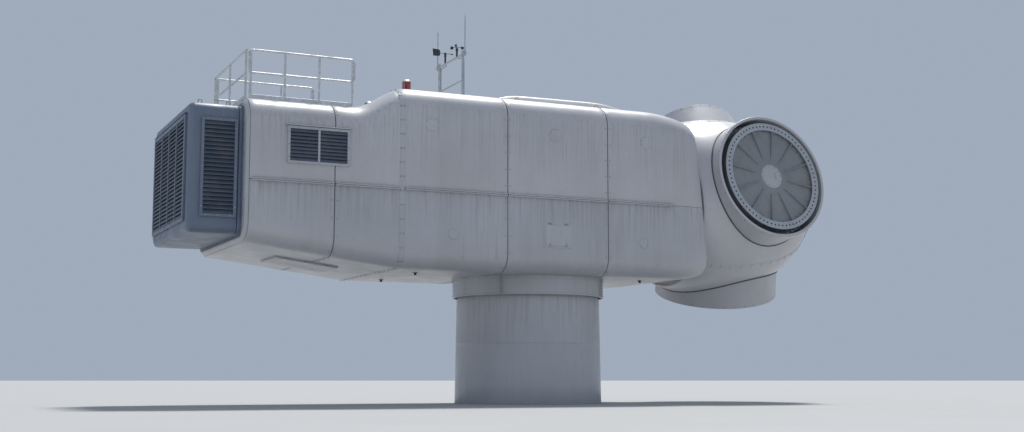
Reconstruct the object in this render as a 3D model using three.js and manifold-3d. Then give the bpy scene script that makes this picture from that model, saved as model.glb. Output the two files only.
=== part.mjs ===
// Wind turbine nacelle, full size, millimetres, +Z up.
// Origin: tower axis, in the plane of the tower-top can's lower flange face.
// +X points from the tower axis to the rotor nose.
import * as THREE from 'three';
import * as BufferGeometryUtils from 'three/addons/utils/BufferGeometryUtils.js';
import Module from 'manifold-3d';

// ---------------------------------------------------------------- driving dimensions
const DEG = Math.PI / 180;

// tower-top can
const CAN_R0 = 1680;            // outer radius at the lower flange
const CAN_R1 = 1640;            // outer radius at the top
const CAN_WALL = 40;
const CAN_H = 2520;
const FLANGE_T = 120;           // flange ring thickness
const FLANGE_RI = 1440;         // flange ring inner radius
const DECK_T = 60;              // bolting deck plate

// yaw bearing and main frame
const YAW_H = 170;
const YAW_RO = 1600, YAW_RI = 1420;
const FRAME_R = 1560;
const FRAME_T = 110;
const CLEAR = 8;                // running clearance

// housing
const FLOOR_Z = CAN_H + YAW_H + CLEAR + FRAME_T + 2;   // underside of the housing, 2810
const HALF_W = 2150;
const SEAM_Z = FLOOR_Z + 1650;
const ROOF_Z = FLOOR_Z + 3850;      // roof over the drive train
const REAR_ROOF_Z = FLOOR_Z + 3350; // lower roof behind
const REAR_FLOOR_Z = FLOOR_Z + 420; // underside at the rear wall
const REAR_X = -7100;
const SPLIT_X = -3900;              // joint between front and rear shells
const RAMP_X = -4700;               // rear foot of the step in the roof
const BOTTOM_RAD = 400, TOP_RAD = 520;
const SEAM = 5;                     // panel joint width

// rear cooler module
const COOL_X0 = -8300, COOL_X1 = REAR_X - 72;
const COOL_HW = 1860;
const COOL_Z0 = REAR_FLOOR_Z + 160, COOL_Z1 = REAR_ROOF_Z - 180;

// rotor
const HUB_X = 5300, HUB_Z = FLOOR_Z + 2030;
const TILT = 5 * DEG;
const CONE = 3 * DEG;
const FACE_A = -1800;               // front face of the housing, along the shaft from the hub centre
const SPIN_WALL = 55;
const BACK_A = -1700;               // rear edge of the spinner
const NOSE_A = 1900;                // joint of the nose cap
const NOSE_R = 1245;
const TIP_A = 2480;
const CUFF_RI = 1440, CUFF_RO = 1505;
const CUFF_H0 = 1450, CUFF_H1 = 2230;
const BEAR_RO = 1405, BEAR_RI = 1215, BEAR_H0 = 1700, BEAR_H1 = 1940;
const ROOT_RO = 1330, ROOT_RI = 1150, ROOT_H0 = 1960, ROOT_H1 = 2250;
const ROOT_RECESS = 60;             // closing plate below the ring's face
const BLADES = [18, 138, 258];      // degrees round the shaft from straight down

// ---------------------------------------------------------------- materials
const paint = (color, roughness = 0.45, metalness = 0) => new THREE.MeshStandardMaterial({ color, roughness, metalness });
const COL = {
  shell: [0xd9dcdf, 0.42, 0], seam: [0xc6cacd, 0.5, 0], cooler: [0x5f6b7e, 0.55, 0.1], grille: [0x4d5665, 0.5, 0.4],
  tower: [0xd2d5d8, 0.4, 0.1], steel: [0x8f9499, 0.45, 0.8], cast: [0x6c7176, 0.6, 0.5], rail: [0xb9bdc1, 0.4, 0.8],
  lamp: [0x8e1c16, 0.2, 0], dark: [0x2b2e31, 0.7, 0], hatch: [0xcfd3d6, 0.5, 0],
};

// ---------------------------------------------------------------- solids
function mesh3(verts, tris) {
  const g = new THREE.BufferGeometry();
  g.setAttribute('position', new THREE.Float32BufferAttribute(verts.flat(), 3));
  g.setIndex(tris.flat());
  return g;
}

// Profile of [radius, height] points turned about +Z. It runs counter-clockwise with the
// radius to the right, and either closes on itself or starts and ends on the axis.
function revolve(profile, seg = 48) {
  const open = profile[0][0] === 0;
  const verts = [], ids = [], tris = [];
  for (const [r, h] of profile) {
    if (r === 0) { ids.push([verts.length]); verts.push([0, 0, h]); continue; }
    const row = [];
    for (let i = 0; i < seg; i++) {
      const p = (i / seg) * 2 * Math.PI;
      row.push(verts.length);
      verts.push([r * Math.cos(p), r * Math.sin(p), h]);
    }
    ids.push(row);
  }
  const n = profile.length;
  for (let j = 0; j < (open ? n - 1 : n); j++) {
    const lo = ids[j], hi = ids[(j + 1) % n];
    for (let i = 0; i < seg; i++) {
      const k = (i + 1) % seg;
      if (lo.length === 1) tris.push([lo[0], hi[k], hi[i]]);
      else if (hi.length === 1) tris.push([lo[i], lo[k], hi[0]]);
      else tris.push([lo[i], lo[k], hi[k]], [lo[i], hi[k], hi[i]]);
    }
  }
  return mesh3(verts, tris);
}
const ring = (ro, ri, h0, h1, seg) => revolve([[ri, h0], [ro, h0], [ro, h1], [ri, h1]], seg);
const disc = (r, h0, h1, seg) => revolve([[0, h0], [r, h0], [r, h1], [0, h1]], seg);

// Convex outline of [y, z, radius] corners, counter-clockwise with y to the right.
function rounded(corners, n = 4) {
  const out = [];
  const m = corners.length;
  corners.forEach(([y, z, r], i) => {
    if (!r) { out.push([y, z]); return; }
    const a = corners[(i + m - 1) % m], b = corners[(i + 1) % m];
    const u = new THREE.Vector2(a[0] - y, a[1] - z).normalize();
    const v = new THREE.Vector2(b[0] - y, b[1] - z).normalize();
    const half = Math.acos(u.dot(v)) / 2;
    const c = u.clone().add(v).normalize().multiplyScalar(r / Math.sin(half)).add(new THREE.Vector2(y, z));
    const s = u.clone().multiplyScalar(r / Math.tan(half)).add(new THREE.Vector2(y, z)).sub(c);
    const e = v.clone().multiplyScalar(r / Math.tan(half)).add(new THREE.Vector2(y, z)).sub(c);
    const a0 = Math.atan2(s.y, s.x);
    let a1 = Math.atan2(e.y, e.x);
    while (a1 < a0) a1 += 2 * Math.PI;
    for (let k = 0; k <= n; k++) {
      const t = a0 + ((a1 - a0) * k) / n;
      out.push([c.x + r * Math.cos(t), c.y + r * Math.sin(t)]);
    }
  });
  return out;
}

// Stations of { x, pts } with equal convex outlines, x rising. x may be a function of z.
function loft(stations) {
  const n = stations[0].pts.length;
  const verts = [], tris = [];
  for (const { x, pts } of stations) for (const [y, z] of pts) verts.push([typeof x === 'function' ? x(z) : x, y, z]);
  for (let s = 0; s + 1 < stations.length; s++) {
    for (let k = 0; k < n; k++) {
      const a = s * n + k, b = s * n + ((k + 1) % n);
      tris.push([a, b, b + n], [a, b + n, a + n]);
    }
  }
  const last = (stations.length - 1) * n;
  for (let k = 1; k + 1 < n; k++) tris.push([0, k + 1, k], [last, last + k, last + k + 1]);
  return mesh3(verts, tris);
}

const block = (x0, x1, y0, y1, z0, z1) =>
  new THREE.BoxGeometry(x1 - x0, y1 - y0, z1 - z0).translate((x0 + x1) / 2, (y0 + y1) / 2, (z0 + z1) / 2);

// Slatted panel: saw-tooth outline along the height, extruded over the width.
// Local frame: u out of the panel, v up, w across.
function louvre(width, height, slats, back, proud) {
  const s = new THREE.Shape();
  const edge = 60;
  s.moveTo(0, 0);
  s.lineTo(proud, 0);
  s.lineTo(proud, edge);
  const pitch = (height - 2 * edge) / slats;
  for (let i = 0; i < slats; i++) {
    const v = edge + i * pitch;
    s.lineTo(back, v + 1);
    s.lineTo(back, v + pitch * 0.25);
    s.lineTo(proud, v + pitch * (i === slats - 1 ? 1 : 0.98));
  }
  s.lineTo(proud, height);
  s.lineTo(0, height);
  s.closePath();
  return new THREE.ExtrudeGeometry(s, { depth: width, bevelEnabled: false, steps: 1 }).translate(0, 0, -width / 2);
}

// ---------------------------------------------------------------- joining and cutting
const wasm = await Module();
wasm.setup();
function bare(g) {
  const c = g.clone();
  for (const k of Object.keys(c.attributes)) if (k !== 'position') c.deleteAttribute(k);
  return BufferGeometryUtils.mergeVertices(c, 1e-3);
}
function toSolid(g) {
  const c = bare(g);
  return new wasm.Manifold(new wasm.Mesh({
    numProp: 3,
    vertProperties: new Float32Array(c.attributes.position.array),
    triVerts: new Uint32Array(c.index.array),
  }));
}
function toGeometry(m) {
  const r = m.getMesh();
  const g = new THREE.BufferGeometry();
  const p = new Float32Array(r.numVert * 3);
  for (let i = 0; i < r.numVert; i++) for (let k = 0; k < 3; k++) p[i * 3 + k] = r.vertProperties[i * r.numProp + k];
  g.setAttribute('position', new THREE.BufferAttribute(p, 3));
  g.setIndex(Array.from(r.triVerts));
  return g;
}
const join = (...gs) => toGeometry(gs.map(toSolid).reduce((a, b) => a.add(b)));
const cut = (g, ...tools) => toGeometry(tools.map(toSolid).reduce((a, b) => a.subtract(b), toSolid(g)));

// Round bar between two points.
function bar(a, b, r, sides = 6) {
  const A = new THREE.Vector3(...a), B = new THREE.Vector3(...b);
  const d = B.clone().sub(A);
  const g = new THREE.CylinderGeometry(r, r, d.length(), sides);
  g.applyQuaternion(new THREE.Quaternion().setFromUnitVectors(new THREE.Vector3(0, 1, 0), d.clone().normalize()));
  const c = A.add(B).multiplyScalar(0.5);
  return g.translate(c.x, c.y, c.z);
}

// ---------------------------------------------------------------- frames
const root = new THREE.Group();
const towerTop = new THREE.Group(), nacelle = new THREE.Group();
root.add(towerTop, nacelle);
function put(parent, name, geometry, mat) {
  const m = new THREE.Mesh(geometry, paint(...COL[mat]));
  m.name = name;
  parent.add(m);
  return m;
}
// +Z of a turned profile laid along +X.
const ALONG_X = new THREE.Matrix4().set(0, 0, 1, 0, 1, 0, 0, 0, 0, 1, 0, 0, 0, 0, 0, 1);
const alongX = (g) => g.applyMatrix4(ALONG_X);
// +Z of a turned profile laid along a blade axis that points down, leaning forward by the cone angle.
const bladeDown = new THREE.Matrix4().makeBasis(
  new THREE.Vector3(0, 1, 0),
  new THREE.Vector3(Math.sin(CONE), 0, -Math.cos(CONE)).cross(new THREE.Vector3(0, 1, 0)),
  new THREE.Vector3(Math.sin(CONE), 0, -Math.cos(CONE)),
);
const alongBlade = (g, deg) => g.applyMatrix4(new THREE.Matrix4().makeRotationX(deg * DEG).multiply(bladeDown));

// ---------------------------------------------------------------- tower top
put(towerTop, 'tower_can', revolve([[CAN_R0 - CAN_WALL, 0], [CAN_R0, 0], [CAN_R1, CAN_H], [CAN_R1 - CAN_WALL, CAN_H]], 48), 'tower');
put(towerTop, 'lower_flange', ring(CAN_R0 - CAN_WALL - 5, FLANGE_RI, 0, FLANGE_T, 48), 'steel');
const circle = (r, seg) => Array.from({ length: seg }, (_, i) => [r * Math.cos((i / seg) * 2 * Math.PI), r * Math.sin((i / seg) * 2 * Math.PI)]);
put(towerTop, 'bolting_deck', loft([{ x: 0, pts: circle(FLANGE_RI - 4, 47) }, { x: DECK_T, pts: circle(FLANGE_RI - 4, 47) }])
  .applyMatrix4(ALONG_X.clone().invert()), 'steel');
put(towerTop, 'upper_flange', ring(CAN_R1 - CAN_WALL - 5, FLANGE_RI - 20, CAN_H - FLANGE_T, CAN_H - 0.5, 48), 'steel');
put(towerTop, 'yaw_gear_ring', ring(YAW_RO, YAW_RI, CAN_H, CAN_H + YAW_H, 72), 'cast');

// ---------------------------------------------------------------- nacelle
put(nacelle, 'main_frame', disc(FRAME_R, CAN_H + YAW_H + CLEAR, CAN_H + YAW_H + CLEAR + FRAME_T, 48), 'cast');
put(nacelle, 'yaw_skirt', revolve([[1700, FLOOR_Z - 420], [1738, FLOOR_Z - 420], [1745, FLOOR_Z - 1], [1706, FLOOR_Z - 1]], 48), 'shell');

const faceX = (a) => (z) => HUB_X + (a - (z - HUB_Z) * Math.sin(TILT)) / Math.cos(TILT);
const lower = (hw, z0) => rounded([[-hw, z0, BOTTOM_RAD], [hw, z0, BOTTOM_RAD], [HALF_W - (HALF_W - hw), SEAM_Z - SEAM, 0], [-HALF_W + (HALF_W - hw), SEAM_Z - SEAM, 0]]);
const upper = (hw, z1, r = TOP_RAD) => rounded([[-hw, SEAM_Z, 0], [hw, SEAM_Z, 0], [hw, z1, r], [-hw, z1, r]]);
const SHOULDER_X = 2750;
put(nacelle, 'lower_shell_front', loft([
  { x: SPLIT_X, pts: lower(HALF_W, FLOOR_Z) },
  { x: SHOULDER_X, pts: lower(HALF_W, FLOOR_Z) },
  { x: faceX(FACE_A - 90), pts: lower(HALF_W - 60, FLOOR_Z + 70) },
  { x: faceX(FACE_A), pts: lower(HALF_W - 170, FLOOR_Z + 190) },
]), 'shell');
put(nacelle, 'upper_shell_front', loft([
  { x: SPLIT_X, pts: upper(HALF_W, ROOF_Z) },
  { x: 2300, pts: upper(HALF_W, ROOF_Z) },
  { x: faceX(FACE_A - 90), pts: upper(HALF_W - 60, ROOF_Z - 150) },
  { x: faceX(FACE_A), pts: upper(HALF_W - 170, ROOF_Z - 270) },
]), 'shell');
put(nacelle, 'lower_shell_rear', loft([
  { x: REAR_X, pts: lower(HALF_W, REAR_FLOOR_Z) },
  { x: SPLIT_X - SEAM, pts: lower(HALF_W, FLOOR_Z) },
]), 'shell');
put(nacelle, 'upper_shell_rear', loft([
  { x: REAR_X, pts: upper(HALF_W, REAR_ROOF_Z) },
  { x: RAMP_X, pts: upper(HALF_W, REAR_ROOF_Z) },
  { x: SPLIT_X - SEAM, pts: upper(HALF_W, ROOF_Z) },
]), 'shell');
const faired = (w, h) => rounded([[-w, ROOF_Z + 1, 0], [w, ROOF_Z + 1, 0], [w - h * 0.7, ROOF_Z + 1 + h, h * 0.5], [-w + h * 0.7, ROOF_Z + 1 + h, h * 0.5]]);
put(nacelle, 'roof_fairing', loft([
  { x: -1500, pts: faired(1150, 60) },
  { x: -900, pts: faired(1250, 230) },
  { x: 1300, pts: faired(1250, 260) },
  { x: 2280, pts: faired(1100, 60) },
]), 'shell');

const front = new THREE.Group();
front.position.set(HUB_X, 0, HUB_Z);
front.rotation.y = -TILT;
nacelle.add(front);
put(front, 'front_bulkhead', alongX(disc(1640, FACE_A + 1, FACE_A + 36, 48)), 'seam');
put(front, 'shaft_collar', alongX(ring(1110, 1010, FACE_A + 37, BACK_A + 60, 40)), 'cast');

put(nacelle, 'rear_wall', loft([
  { x: REAR_X - 70, pts: rounded([[-HALF_W + 70, REAR_FLOOR_Z + 60, 380], [HALF_W - 70, REAR_FLOOR_Z + 60, 380], [HALF_W - 70, REAR_ROOF_Z - 60, 460], [-HALF_W + 70, REAR_ROOF_Z - 60, 460]]) },
  { x: REAR_X - 1, pts: rounded([[-HALF_W + 20, REAR_FLOOR_Z + 20, 400], [HALF_W - 20, REAR_FLOOR_Z + 20, 400], [HALF_W - 20, REAR_ROOF_Z - 20, 500], [-HALF_W + 20, REAR_ROOF_Z - 20, 500]]) },
]), 'seam');
const coolSec = (d, r) => rounded([[-COOL_HW + d, COOL_Z0 + d, r], [COOL_HW - d, COOL_Z0 + d, r], [COOL_HW - d, COOL_Z1 - d, r], [-COOL_HW + d, COOL_Z1 - d, r]]);
put(nacelle, 'cooler_block', loft([
  { x: COOL_X0 + 60, pts: coolSec(110, 180) },
  { x: COOL_X0 + 180, pts: coolSec(0, 180) },
  { x: COOL_X1, pts: coolSec(0, 180) },
]), 'cooler');

// slatted panels: rear face and both flanks of the cooler, and a vent on each flank of the housing
const midZ = (COOL_Z0 + COOL_Z1) / 2, coolH = COOL_Z1 - COOL_Z0;
function panel(name, w, h, slats, back, proud, yaw, x, y, z, mat) {
  const m = put(nacelle, name, louvre(w, h, slats, back, proud).rotateX(Math.PI / 2), mat);
  m.rotation.z = yaw;
  m.position.set(x, y, z - h / 2);
  return m;
}
panel('cooler_grille_rear', 2 * COOL_HW - 460, coolH - 460, 14, 18, 58, Math.PI, COOL_X0 + 59, 0, midZ, 'grille');
panel('cooler_grille_left', 720, coolH - 620, 12, 18, 52, Math.PI / 2, (COOL_X0 + COOL_X1) / 2 + 90, COOL_HW + 1, midZ, 'grille');
panel('cooler_grille_right', 720, coolH - 620, 12, 18, 52, -Math.PI / 2, (COOL_X0 + COOL_X1) / 2 + 90, -COOL_HW - 1, midZ, 'grille');
panel('side_vent_left', 1300, 760, 8, 15, 45, Math.PI / 2, -5700, HALF_W + 1, SEAM_Z + 740, 'grille');
panel('side_vent_right', 1300, 760, 8, 15, 45, -Math.PI / 2, -5700, -HALF_W - 1, SEAM_Z + 740, 'grille');

// roof hatches and the hoist hatch in the underside
const lid = (x0, x1, hw, z0, h) => loft([
  { x: x0, pts: rounded([[-hw + h, z0, 0], [hw - h, z0, 0], [hw - h, z0 + h * 0.6, h * 0.3], [-hw + h, z0 + h * 0.6, h * 0.3]], 2) },
  { x: x0 + h, pts: rounded([[-hw, z0, 0], [hw, z0, 0], [hw, z0 + h, h * 0.4], [-hw, z0 + h, h * 0.4]], 2) },
  { x: x1 - h, pts: rounded([[-hw, z0, 0], [hw, z0, 0], [hw, z0 + h, h * 0.4], [-hw, z0 + h, h * 0.4]], 2) },
  { x: x1, pts: rounded([[-hw + h, z0, 0], [hw - h, z0, 0], [hw - h, z0 + h * 0.6, h * 0.3], [-hw + h, z0 + h * 0.6, h * 0.3]], 2) },
]);
put(nacelle, 'roof_hatch_front', lid(-3450, -2350, 560, ROOF_Z + 1, 90), 'hatch');
put(nacelle, 'roof_hatch_rear', lid(-6700, -5300, 900, REAR_ROOF_Z + 1, 100), 'hatch');
const slope = Math.atan2(REAR_FLOOR_Z - FLOOR_Z, SPLIT_X - SEAM - REAR_X);
const hoist = put(nacelle, 'hoist_hatch', block(-700, 700, -620, 620, -46, -1), 'hatch');
hoist.rotation.y = slope;
hoist.position.set(-5450, 0, FLOOR_Z + (SPLIT_X - SEAM + 5450) * Math.tan(slope));

// guard rails round the lower rear roof
const RAIL_Z = REAR_ROOF_Z, RAIL_H = 1050, RAIL_R = 26;
function sideRail(y) {
  const parts = [];
  for (const h of [RAIL_H, RAIL_H * 0.55]) parts.push(bar([-7000, y, RAIL_Z + h], [-4760, y, RAIL_Z + h], RAIL_R));
  for (const x of [-6960, -6250, -5520, -4800]) parts.push(bar([x, y, RAIL_Z + 2], [x, y, RAIL_Z + RAIL_H], RAIL_R));
  return join(...parts);
}
put(nacelle, 'roof_rail_left', sideRail(1500), 'rail');
put(nacelle, 'roof_rail_right', sideRail(-1500), 'rail');
{
  const parts = [];
  for (const h of [RAIL_H, RAIL_H * 0.55]) parts.push(bar([-7040, -1440, RAIL_Z + h], [-7040, 1440, RAIL_Z + h], RAIL_R));
  for (const y of [-1400, 0, 1400]) parts.push(bar([-7040, y, RAIL_Z + 2], [-7040, y, RAIL_Z + RAIL_H], RAIL_R));
  put(nacelle, 'roof_rail_rear', join(...parts), 'rail');
}

// instrument frame on the front roof: crossbar with two lightning rods, wind vane and cup wheel
{
  const x = -1950, z = ROOF_Z;
  put(nacelle, 'instrument_frame', join(
    bar([x, -700, z + 2], [x, -700, z + 1250], 32), bar([x, 700, z + 2], [x, 700, z + 1250], 32),
    bar([x, -860, z + 1150], [x, 860, z + 1150], 30), bar([x, -700, z + 560], [x, 700, z + 560], 22),
    bar([x, -820, z + 1150], [x, -820, z + 2050], 13), bar([x, 820, z + 1150], [x, 820, z + 2050], 13),
  ), 'rail');
  put(nacelle, 'cup_anemometer', join(
    bar([x, -350, z + 1182], [x, -350, z + 1430], 24), bar([x - 130, -350, z + 1400], [x + 130, -350, z + 1400], 9),
    bar([x, -480, z + 1400], [x, -220, z + 1400], 9),
    new THREE.SphereGeometry(42, 8, 6).translate(x - 140, -350, z + 1400), new THREE.SphereGeometry(42, 8, 6).translate(x + 140, -350, z + 1400),
    new THREE.SphereGeometry(42, 8, 6).translate(x, -490, z + 1400), new THREE.SphereGeometry(42, 8, 6).translate(x, -210, z + 1400),
  ), 'dark');
  put(nacelle, 'wind_vane', join(
    bar([x, 350, z + 1182], [x, 350, z + 1430], 24), bar([x - 260, 350, z + 1410], [x + 170, 350, z + 1410], 11),
    block(x - 320, x - 130, 345, 355, z + 1330, z + 1500),
  ), 'dark');
}
// obstruction lights
for (const [name, y] of [['obstruction_light_left', 1250], ['obstruction_light_right', -1250]]) {
  put(nacelle, name, revolve([[0, 0], [120, 0], [120, 70], [95, 80], [95, 250], [60, 300], [0, 310]], 20).translate(-3500, y, ROOF_Z + 1), 'lamp');
}

// ---------------------------------------------------------------- rotor
const rotor = new THREE.Group();
rotor.position.set(HUB_X, 0, HUB_Z);
rotor.rotation.y = -TILT;
root.add(rotor);

const outerR = [[BACK_A, 1925], [-1300, 2060], [-800, 2135], [-200, 2150], [400, 2085], [900, 1940], [1400, 1690], [NOSE_A, NOSE_R]];
const outline = [
  [outerR[0][1] - SPIN_WALL, BACK_A],
  ...outerR.map(([a, r]) => [r, a]),
  ...outerR.slice().reverse().slice(0, -1).map(([a, r]) => [r - SPIN_WALL, a]),
];
put(rotor, 'spinner_shell', cut(alongX(revolve(outline, 48)),
  ...BLADES.map((d) => alongBlade(disc(CUFF_RO + 3, 900, 2600, 40), d))), 'shell');
put(rotor, 'spinner_nose', alongX(revolve([[0, NOSE_A + 4], [NOSE_R - 4, NOSE_A + 4], [1010, 2150], [640, 2350], [300, 2450], [0, TIP_A]], 48)), 'shell');
put(rotor, 'spinner_backplate', alongX(ring(1925 - SPIN_WALL - 3, 1160, BACK_A + 8, BACK_A + 34, 48)), 'seam');
// hub casting: hollow, open at the three blade bores and at the front manhole
put(rotor, 'hub_casting', cut(join(
  alongX(revolve([[0, -1752], [960, -1752], [960, -1200], [1180, -900], [1360, -400], [1390, 0], [1300, 500], [1050, 900], [600, 1180], [0, 1250]], 32)),
  ...BLADES.map((d) => alongBlade(disc(1395, 200, BEAR_H0 - 1, 32), d))),
  alongX(revolve([[0, -1480], [560, -1480], [700, -1150], [1020, -820], [1215, -380], [1240, 0], [1150, 460], [910, 800], [510, 1030], [0, 1090]], 32)),
  alongX(disc(350, 900, 1450, 24)),
  ...BLADES.map((d) => alongBlade(disc(1205, 60, 1900, 32), d))), 'cast');
BLADES.forEach((d, i) => {
  put(rotor, `root_cuff_${i + 1}`, alongBlade(ring(CUFF_RO, CUFF_RI, CUFF_H0, CUFF_H1, 40), d), 'shell');
  put(rotor, `blade_bearing_${i + 1}`, alongBlade(ring(BEAR_RO, BEAR_RI, BEAR_H0, BEAR_H1, 40), d), 'cast');
  // blade-root flange ring with the plate that closes it
  put(rotor, `root_flange_${i + 1}`, alongBlade(revolve([
    [0, ROOT_H0], [ROOT_RO, ROOT_H0], [ROOT_RO, ROOT_H1], [ROOT_RI, ROOT_H1], [ROOT_RI, ROOT_H1 - ROOT_RECESS], [0, ROOT_H1 - ROOT_RECESS],
  ], 40), d), 'steel');
});

export default root;
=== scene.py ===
import math

import bmesh
import bpy
from mathutils import Matrix, Vector


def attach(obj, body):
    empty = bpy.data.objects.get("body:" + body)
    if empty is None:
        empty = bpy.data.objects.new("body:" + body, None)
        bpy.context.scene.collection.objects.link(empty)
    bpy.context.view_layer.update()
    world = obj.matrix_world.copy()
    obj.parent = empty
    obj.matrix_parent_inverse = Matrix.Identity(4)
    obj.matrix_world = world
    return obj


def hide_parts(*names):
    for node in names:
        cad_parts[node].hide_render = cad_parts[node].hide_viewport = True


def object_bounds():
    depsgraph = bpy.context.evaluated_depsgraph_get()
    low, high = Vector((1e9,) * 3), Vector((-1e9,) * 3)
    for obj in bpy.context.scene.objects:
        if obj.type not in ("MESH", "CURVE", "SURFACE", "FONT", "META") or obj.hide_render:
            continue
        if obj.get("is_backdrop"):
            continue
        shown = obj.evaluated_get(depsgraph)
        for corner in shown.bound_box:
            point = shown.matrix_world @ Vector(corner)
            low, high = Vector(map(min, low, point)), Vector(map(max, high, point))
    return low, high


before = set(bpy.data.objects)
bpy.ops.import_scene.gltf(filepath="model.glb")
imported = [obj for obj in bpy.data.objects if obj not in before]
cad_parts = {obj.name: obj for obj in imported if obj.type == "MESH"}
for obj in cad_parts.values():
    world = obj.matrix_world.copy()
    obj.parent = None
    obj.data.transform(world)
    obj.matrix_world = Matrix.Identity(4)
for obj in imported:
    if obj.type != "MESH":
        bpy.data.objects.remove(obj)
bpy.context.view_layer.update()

scene = bpy.context.scene
TAU = 2 * math.pi

# ------------------------------------------------------------------ dimensions, metres
CAN_R0, CAN_R1, CAN_H, CAN_WALL = 1.680, 1.640, 2.520, 0.040
YAW_H = 0.170
FLOOR_Z = 2.810
HALF_W = 2.150
SEAM_Z = FLOOR_Z + 1.650
ROOF_Z = FLOOR_Z + 3.850
REAR_ROOF_Z = FLOOR_Z + 3.350
REAR_FLOOR_Z = FLOOR_Z + 0.420
REAR_X, SPLIT_X, RAMP_X, SHOULDER_X = -7.100, -3.900, -4.700, 2.750
BOTTOM_RAD, TOP_RAD = 0.400, 0.520
COOL_X0, COOL_X1, COOL_HW = -8.300, -7.172, 1.860
COOL_Z0, COOL_Z1 = REAR_FLOOR_Z + 0.160, REAR_ROOF_Z - 0.180
HUB = Vector((5.300, 0.0, FLOOR_Z + 2.030))
TILT, CONE = math.radians(5), math.radians(3)
FACE_A, BACK_A, NOSE_A, TIP_A = -1.800, -1.700, 1.900, 2.473
CUFF_RI, CUFF_RO, CUFF_H0, CUFF_H1 = 1.440, 1.505, 1.450, 2.230
ROOT_RO, ROOT_RI, ROOT_H0, ROOT_H1 = 1.330, 1.150, 1.960, 2.250
BLADES = (18, 138, 258)

# ------------------------------------------------------------------ frames
TO_HUB = Matrix.Translation(HUB) @ Matrix.Rotation(-TILT, 4, "Y")
# turned profiles have their axis along local Z
SHAFT = TO_HUB @ Matrix(((0, 0, 1, 0), (1, 0, 0, 0), (0, 1, 0, 0), (0, 0, 0, 1)))


def blade_frame(deg):
    b = Vector((math.sin(CONE), 0, -math.cos(CONE)))
    e1 = Vector((0, 1, 0))
    e2 = b.cross(e1)
    local = Matrix((e1, e2, b)).transposed().to_4x4()
    return TO_HUB @ Matrix.Rotation(math.radians(deg), 4, "X") @ local


def axes(origin, out, up):
    """Local x across, y up, z out of a panel."""
    z = Vector(out).normalized()
    y = Vector(up)
    y = (y - z * y.dot(z)).normalized()
    x = y.cross(z)
    m = Matrix((x, y, z)).transposed().to_4x4()
    m.translation = Vector(origin)
    return m


# ------------------------------------------------------------------ materials
def _node(nt, kind, x, y, **put):
    n = nt.nodes.new(kind)
    n.location = (x, y)
    for k, v in put.items():
        if k in n.inputs:
            n.inputs[k].default_value = v
        else:
            setattr(n, k, v)
    return n


def _mix(nt, a, b, fac, blend="MIX"):
    n = nt.nodes.new("ShaderNodeMix")
    n.data_type = "RGBA"
    n.blend_type = blend
    for sock, val in ((n.inputs[0], fac), (n.inputs[6], a), (n.inputs[7], b)):
        if isinstance(val, bpy.types.NodeSocket):
            nt.links.new(val, sock)
        else:
            sock.default_value = val if sock.type == "VALUE" else (*val[:3], 1)
    return n.outputs[2]


def _math(nt, op, a, b=0.0, clamp=False):
    n = nt.nodes.new("ShaderNodeMath")
    n.operation = op
    n.use_clamp = clamp
    for sock, val in ((n.inputs[0], a), (n.inputs[1], b)):
        if isinstance(val, bpy.types.NodeSocket):
            nt.links.new(val, sock)
        else:
            sock.default_value = val
    return n.outputs[0]


def _ramp(nt, fac, stops):
    n = nt.nodes.new("ShaderNodeValToRGB")
    e = n.color_ramp.elements
    while len(e) < len(stops):
        e.new(0.5)
    for el, (p, c) in zip(e, stops):
        el.position = p
        el.color = (c, c, c, 1) if not isinstance(c, tuple) else (*c, 1)
    nt.links.new(fac, n.inputs[0])
    return n.outputs[0]


def _noise(nt, coord, scale, detail=4.0, rough=0.55, stretch=None):
    src = coord
    if stretch:
        m = _node(nt, "ShaderNodeMapping", -900, 0)
        m.inputs["Scale"].default_value = stretch
        nt.links.new(coord, m.inputs["Vector"])
        src = m.outputs["Vector"]
    n = _node(nt, "ShaderNodeTexNoise", -700, 0, Scale=scale, Detail=detail, Roughness=rough)
    nt.links.new(src, n.inputs["Vector"])
    return n.outputs["Fac"]


def _start(name):
    m = bpy.data.materials.new(name)
    m.use_nodes = True
    nt = m.node_tree
    nt.nodes.clear()
    out = _node(nt, "ShaderNodeOutputMaterial", 900, 0)
    b = _node(nt, "ShaderNodeBsdfPrincipled", 600, 0)
    nt.links.new(b.outputs["BSDF"], out.inputs["Surface"])
    tc = _node(nt, "ShaderNodeTexCoord", -1200, 0)
    return m, nt, b, tc.outputs["Object"]


def _bump(nt, b, parts):
    """parts: (height socket, strength, distance)."""
    last = None
    for h, strength, dist in parts:
        n = _node(nt, "ShaderNodeBump", 300, -300)
        n.inputs["Strength"].default_value = strength
        n.inputs["Distance"].default_value = dist
        nt.links.new(h, n.inputs["Height"])
        if last is not None:
            nt.links.new(last, n.inputs["Normal"])
        last = n.outputs["Normal"]
    nt.links.new(last, b.inputs["Normal"])


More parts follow.
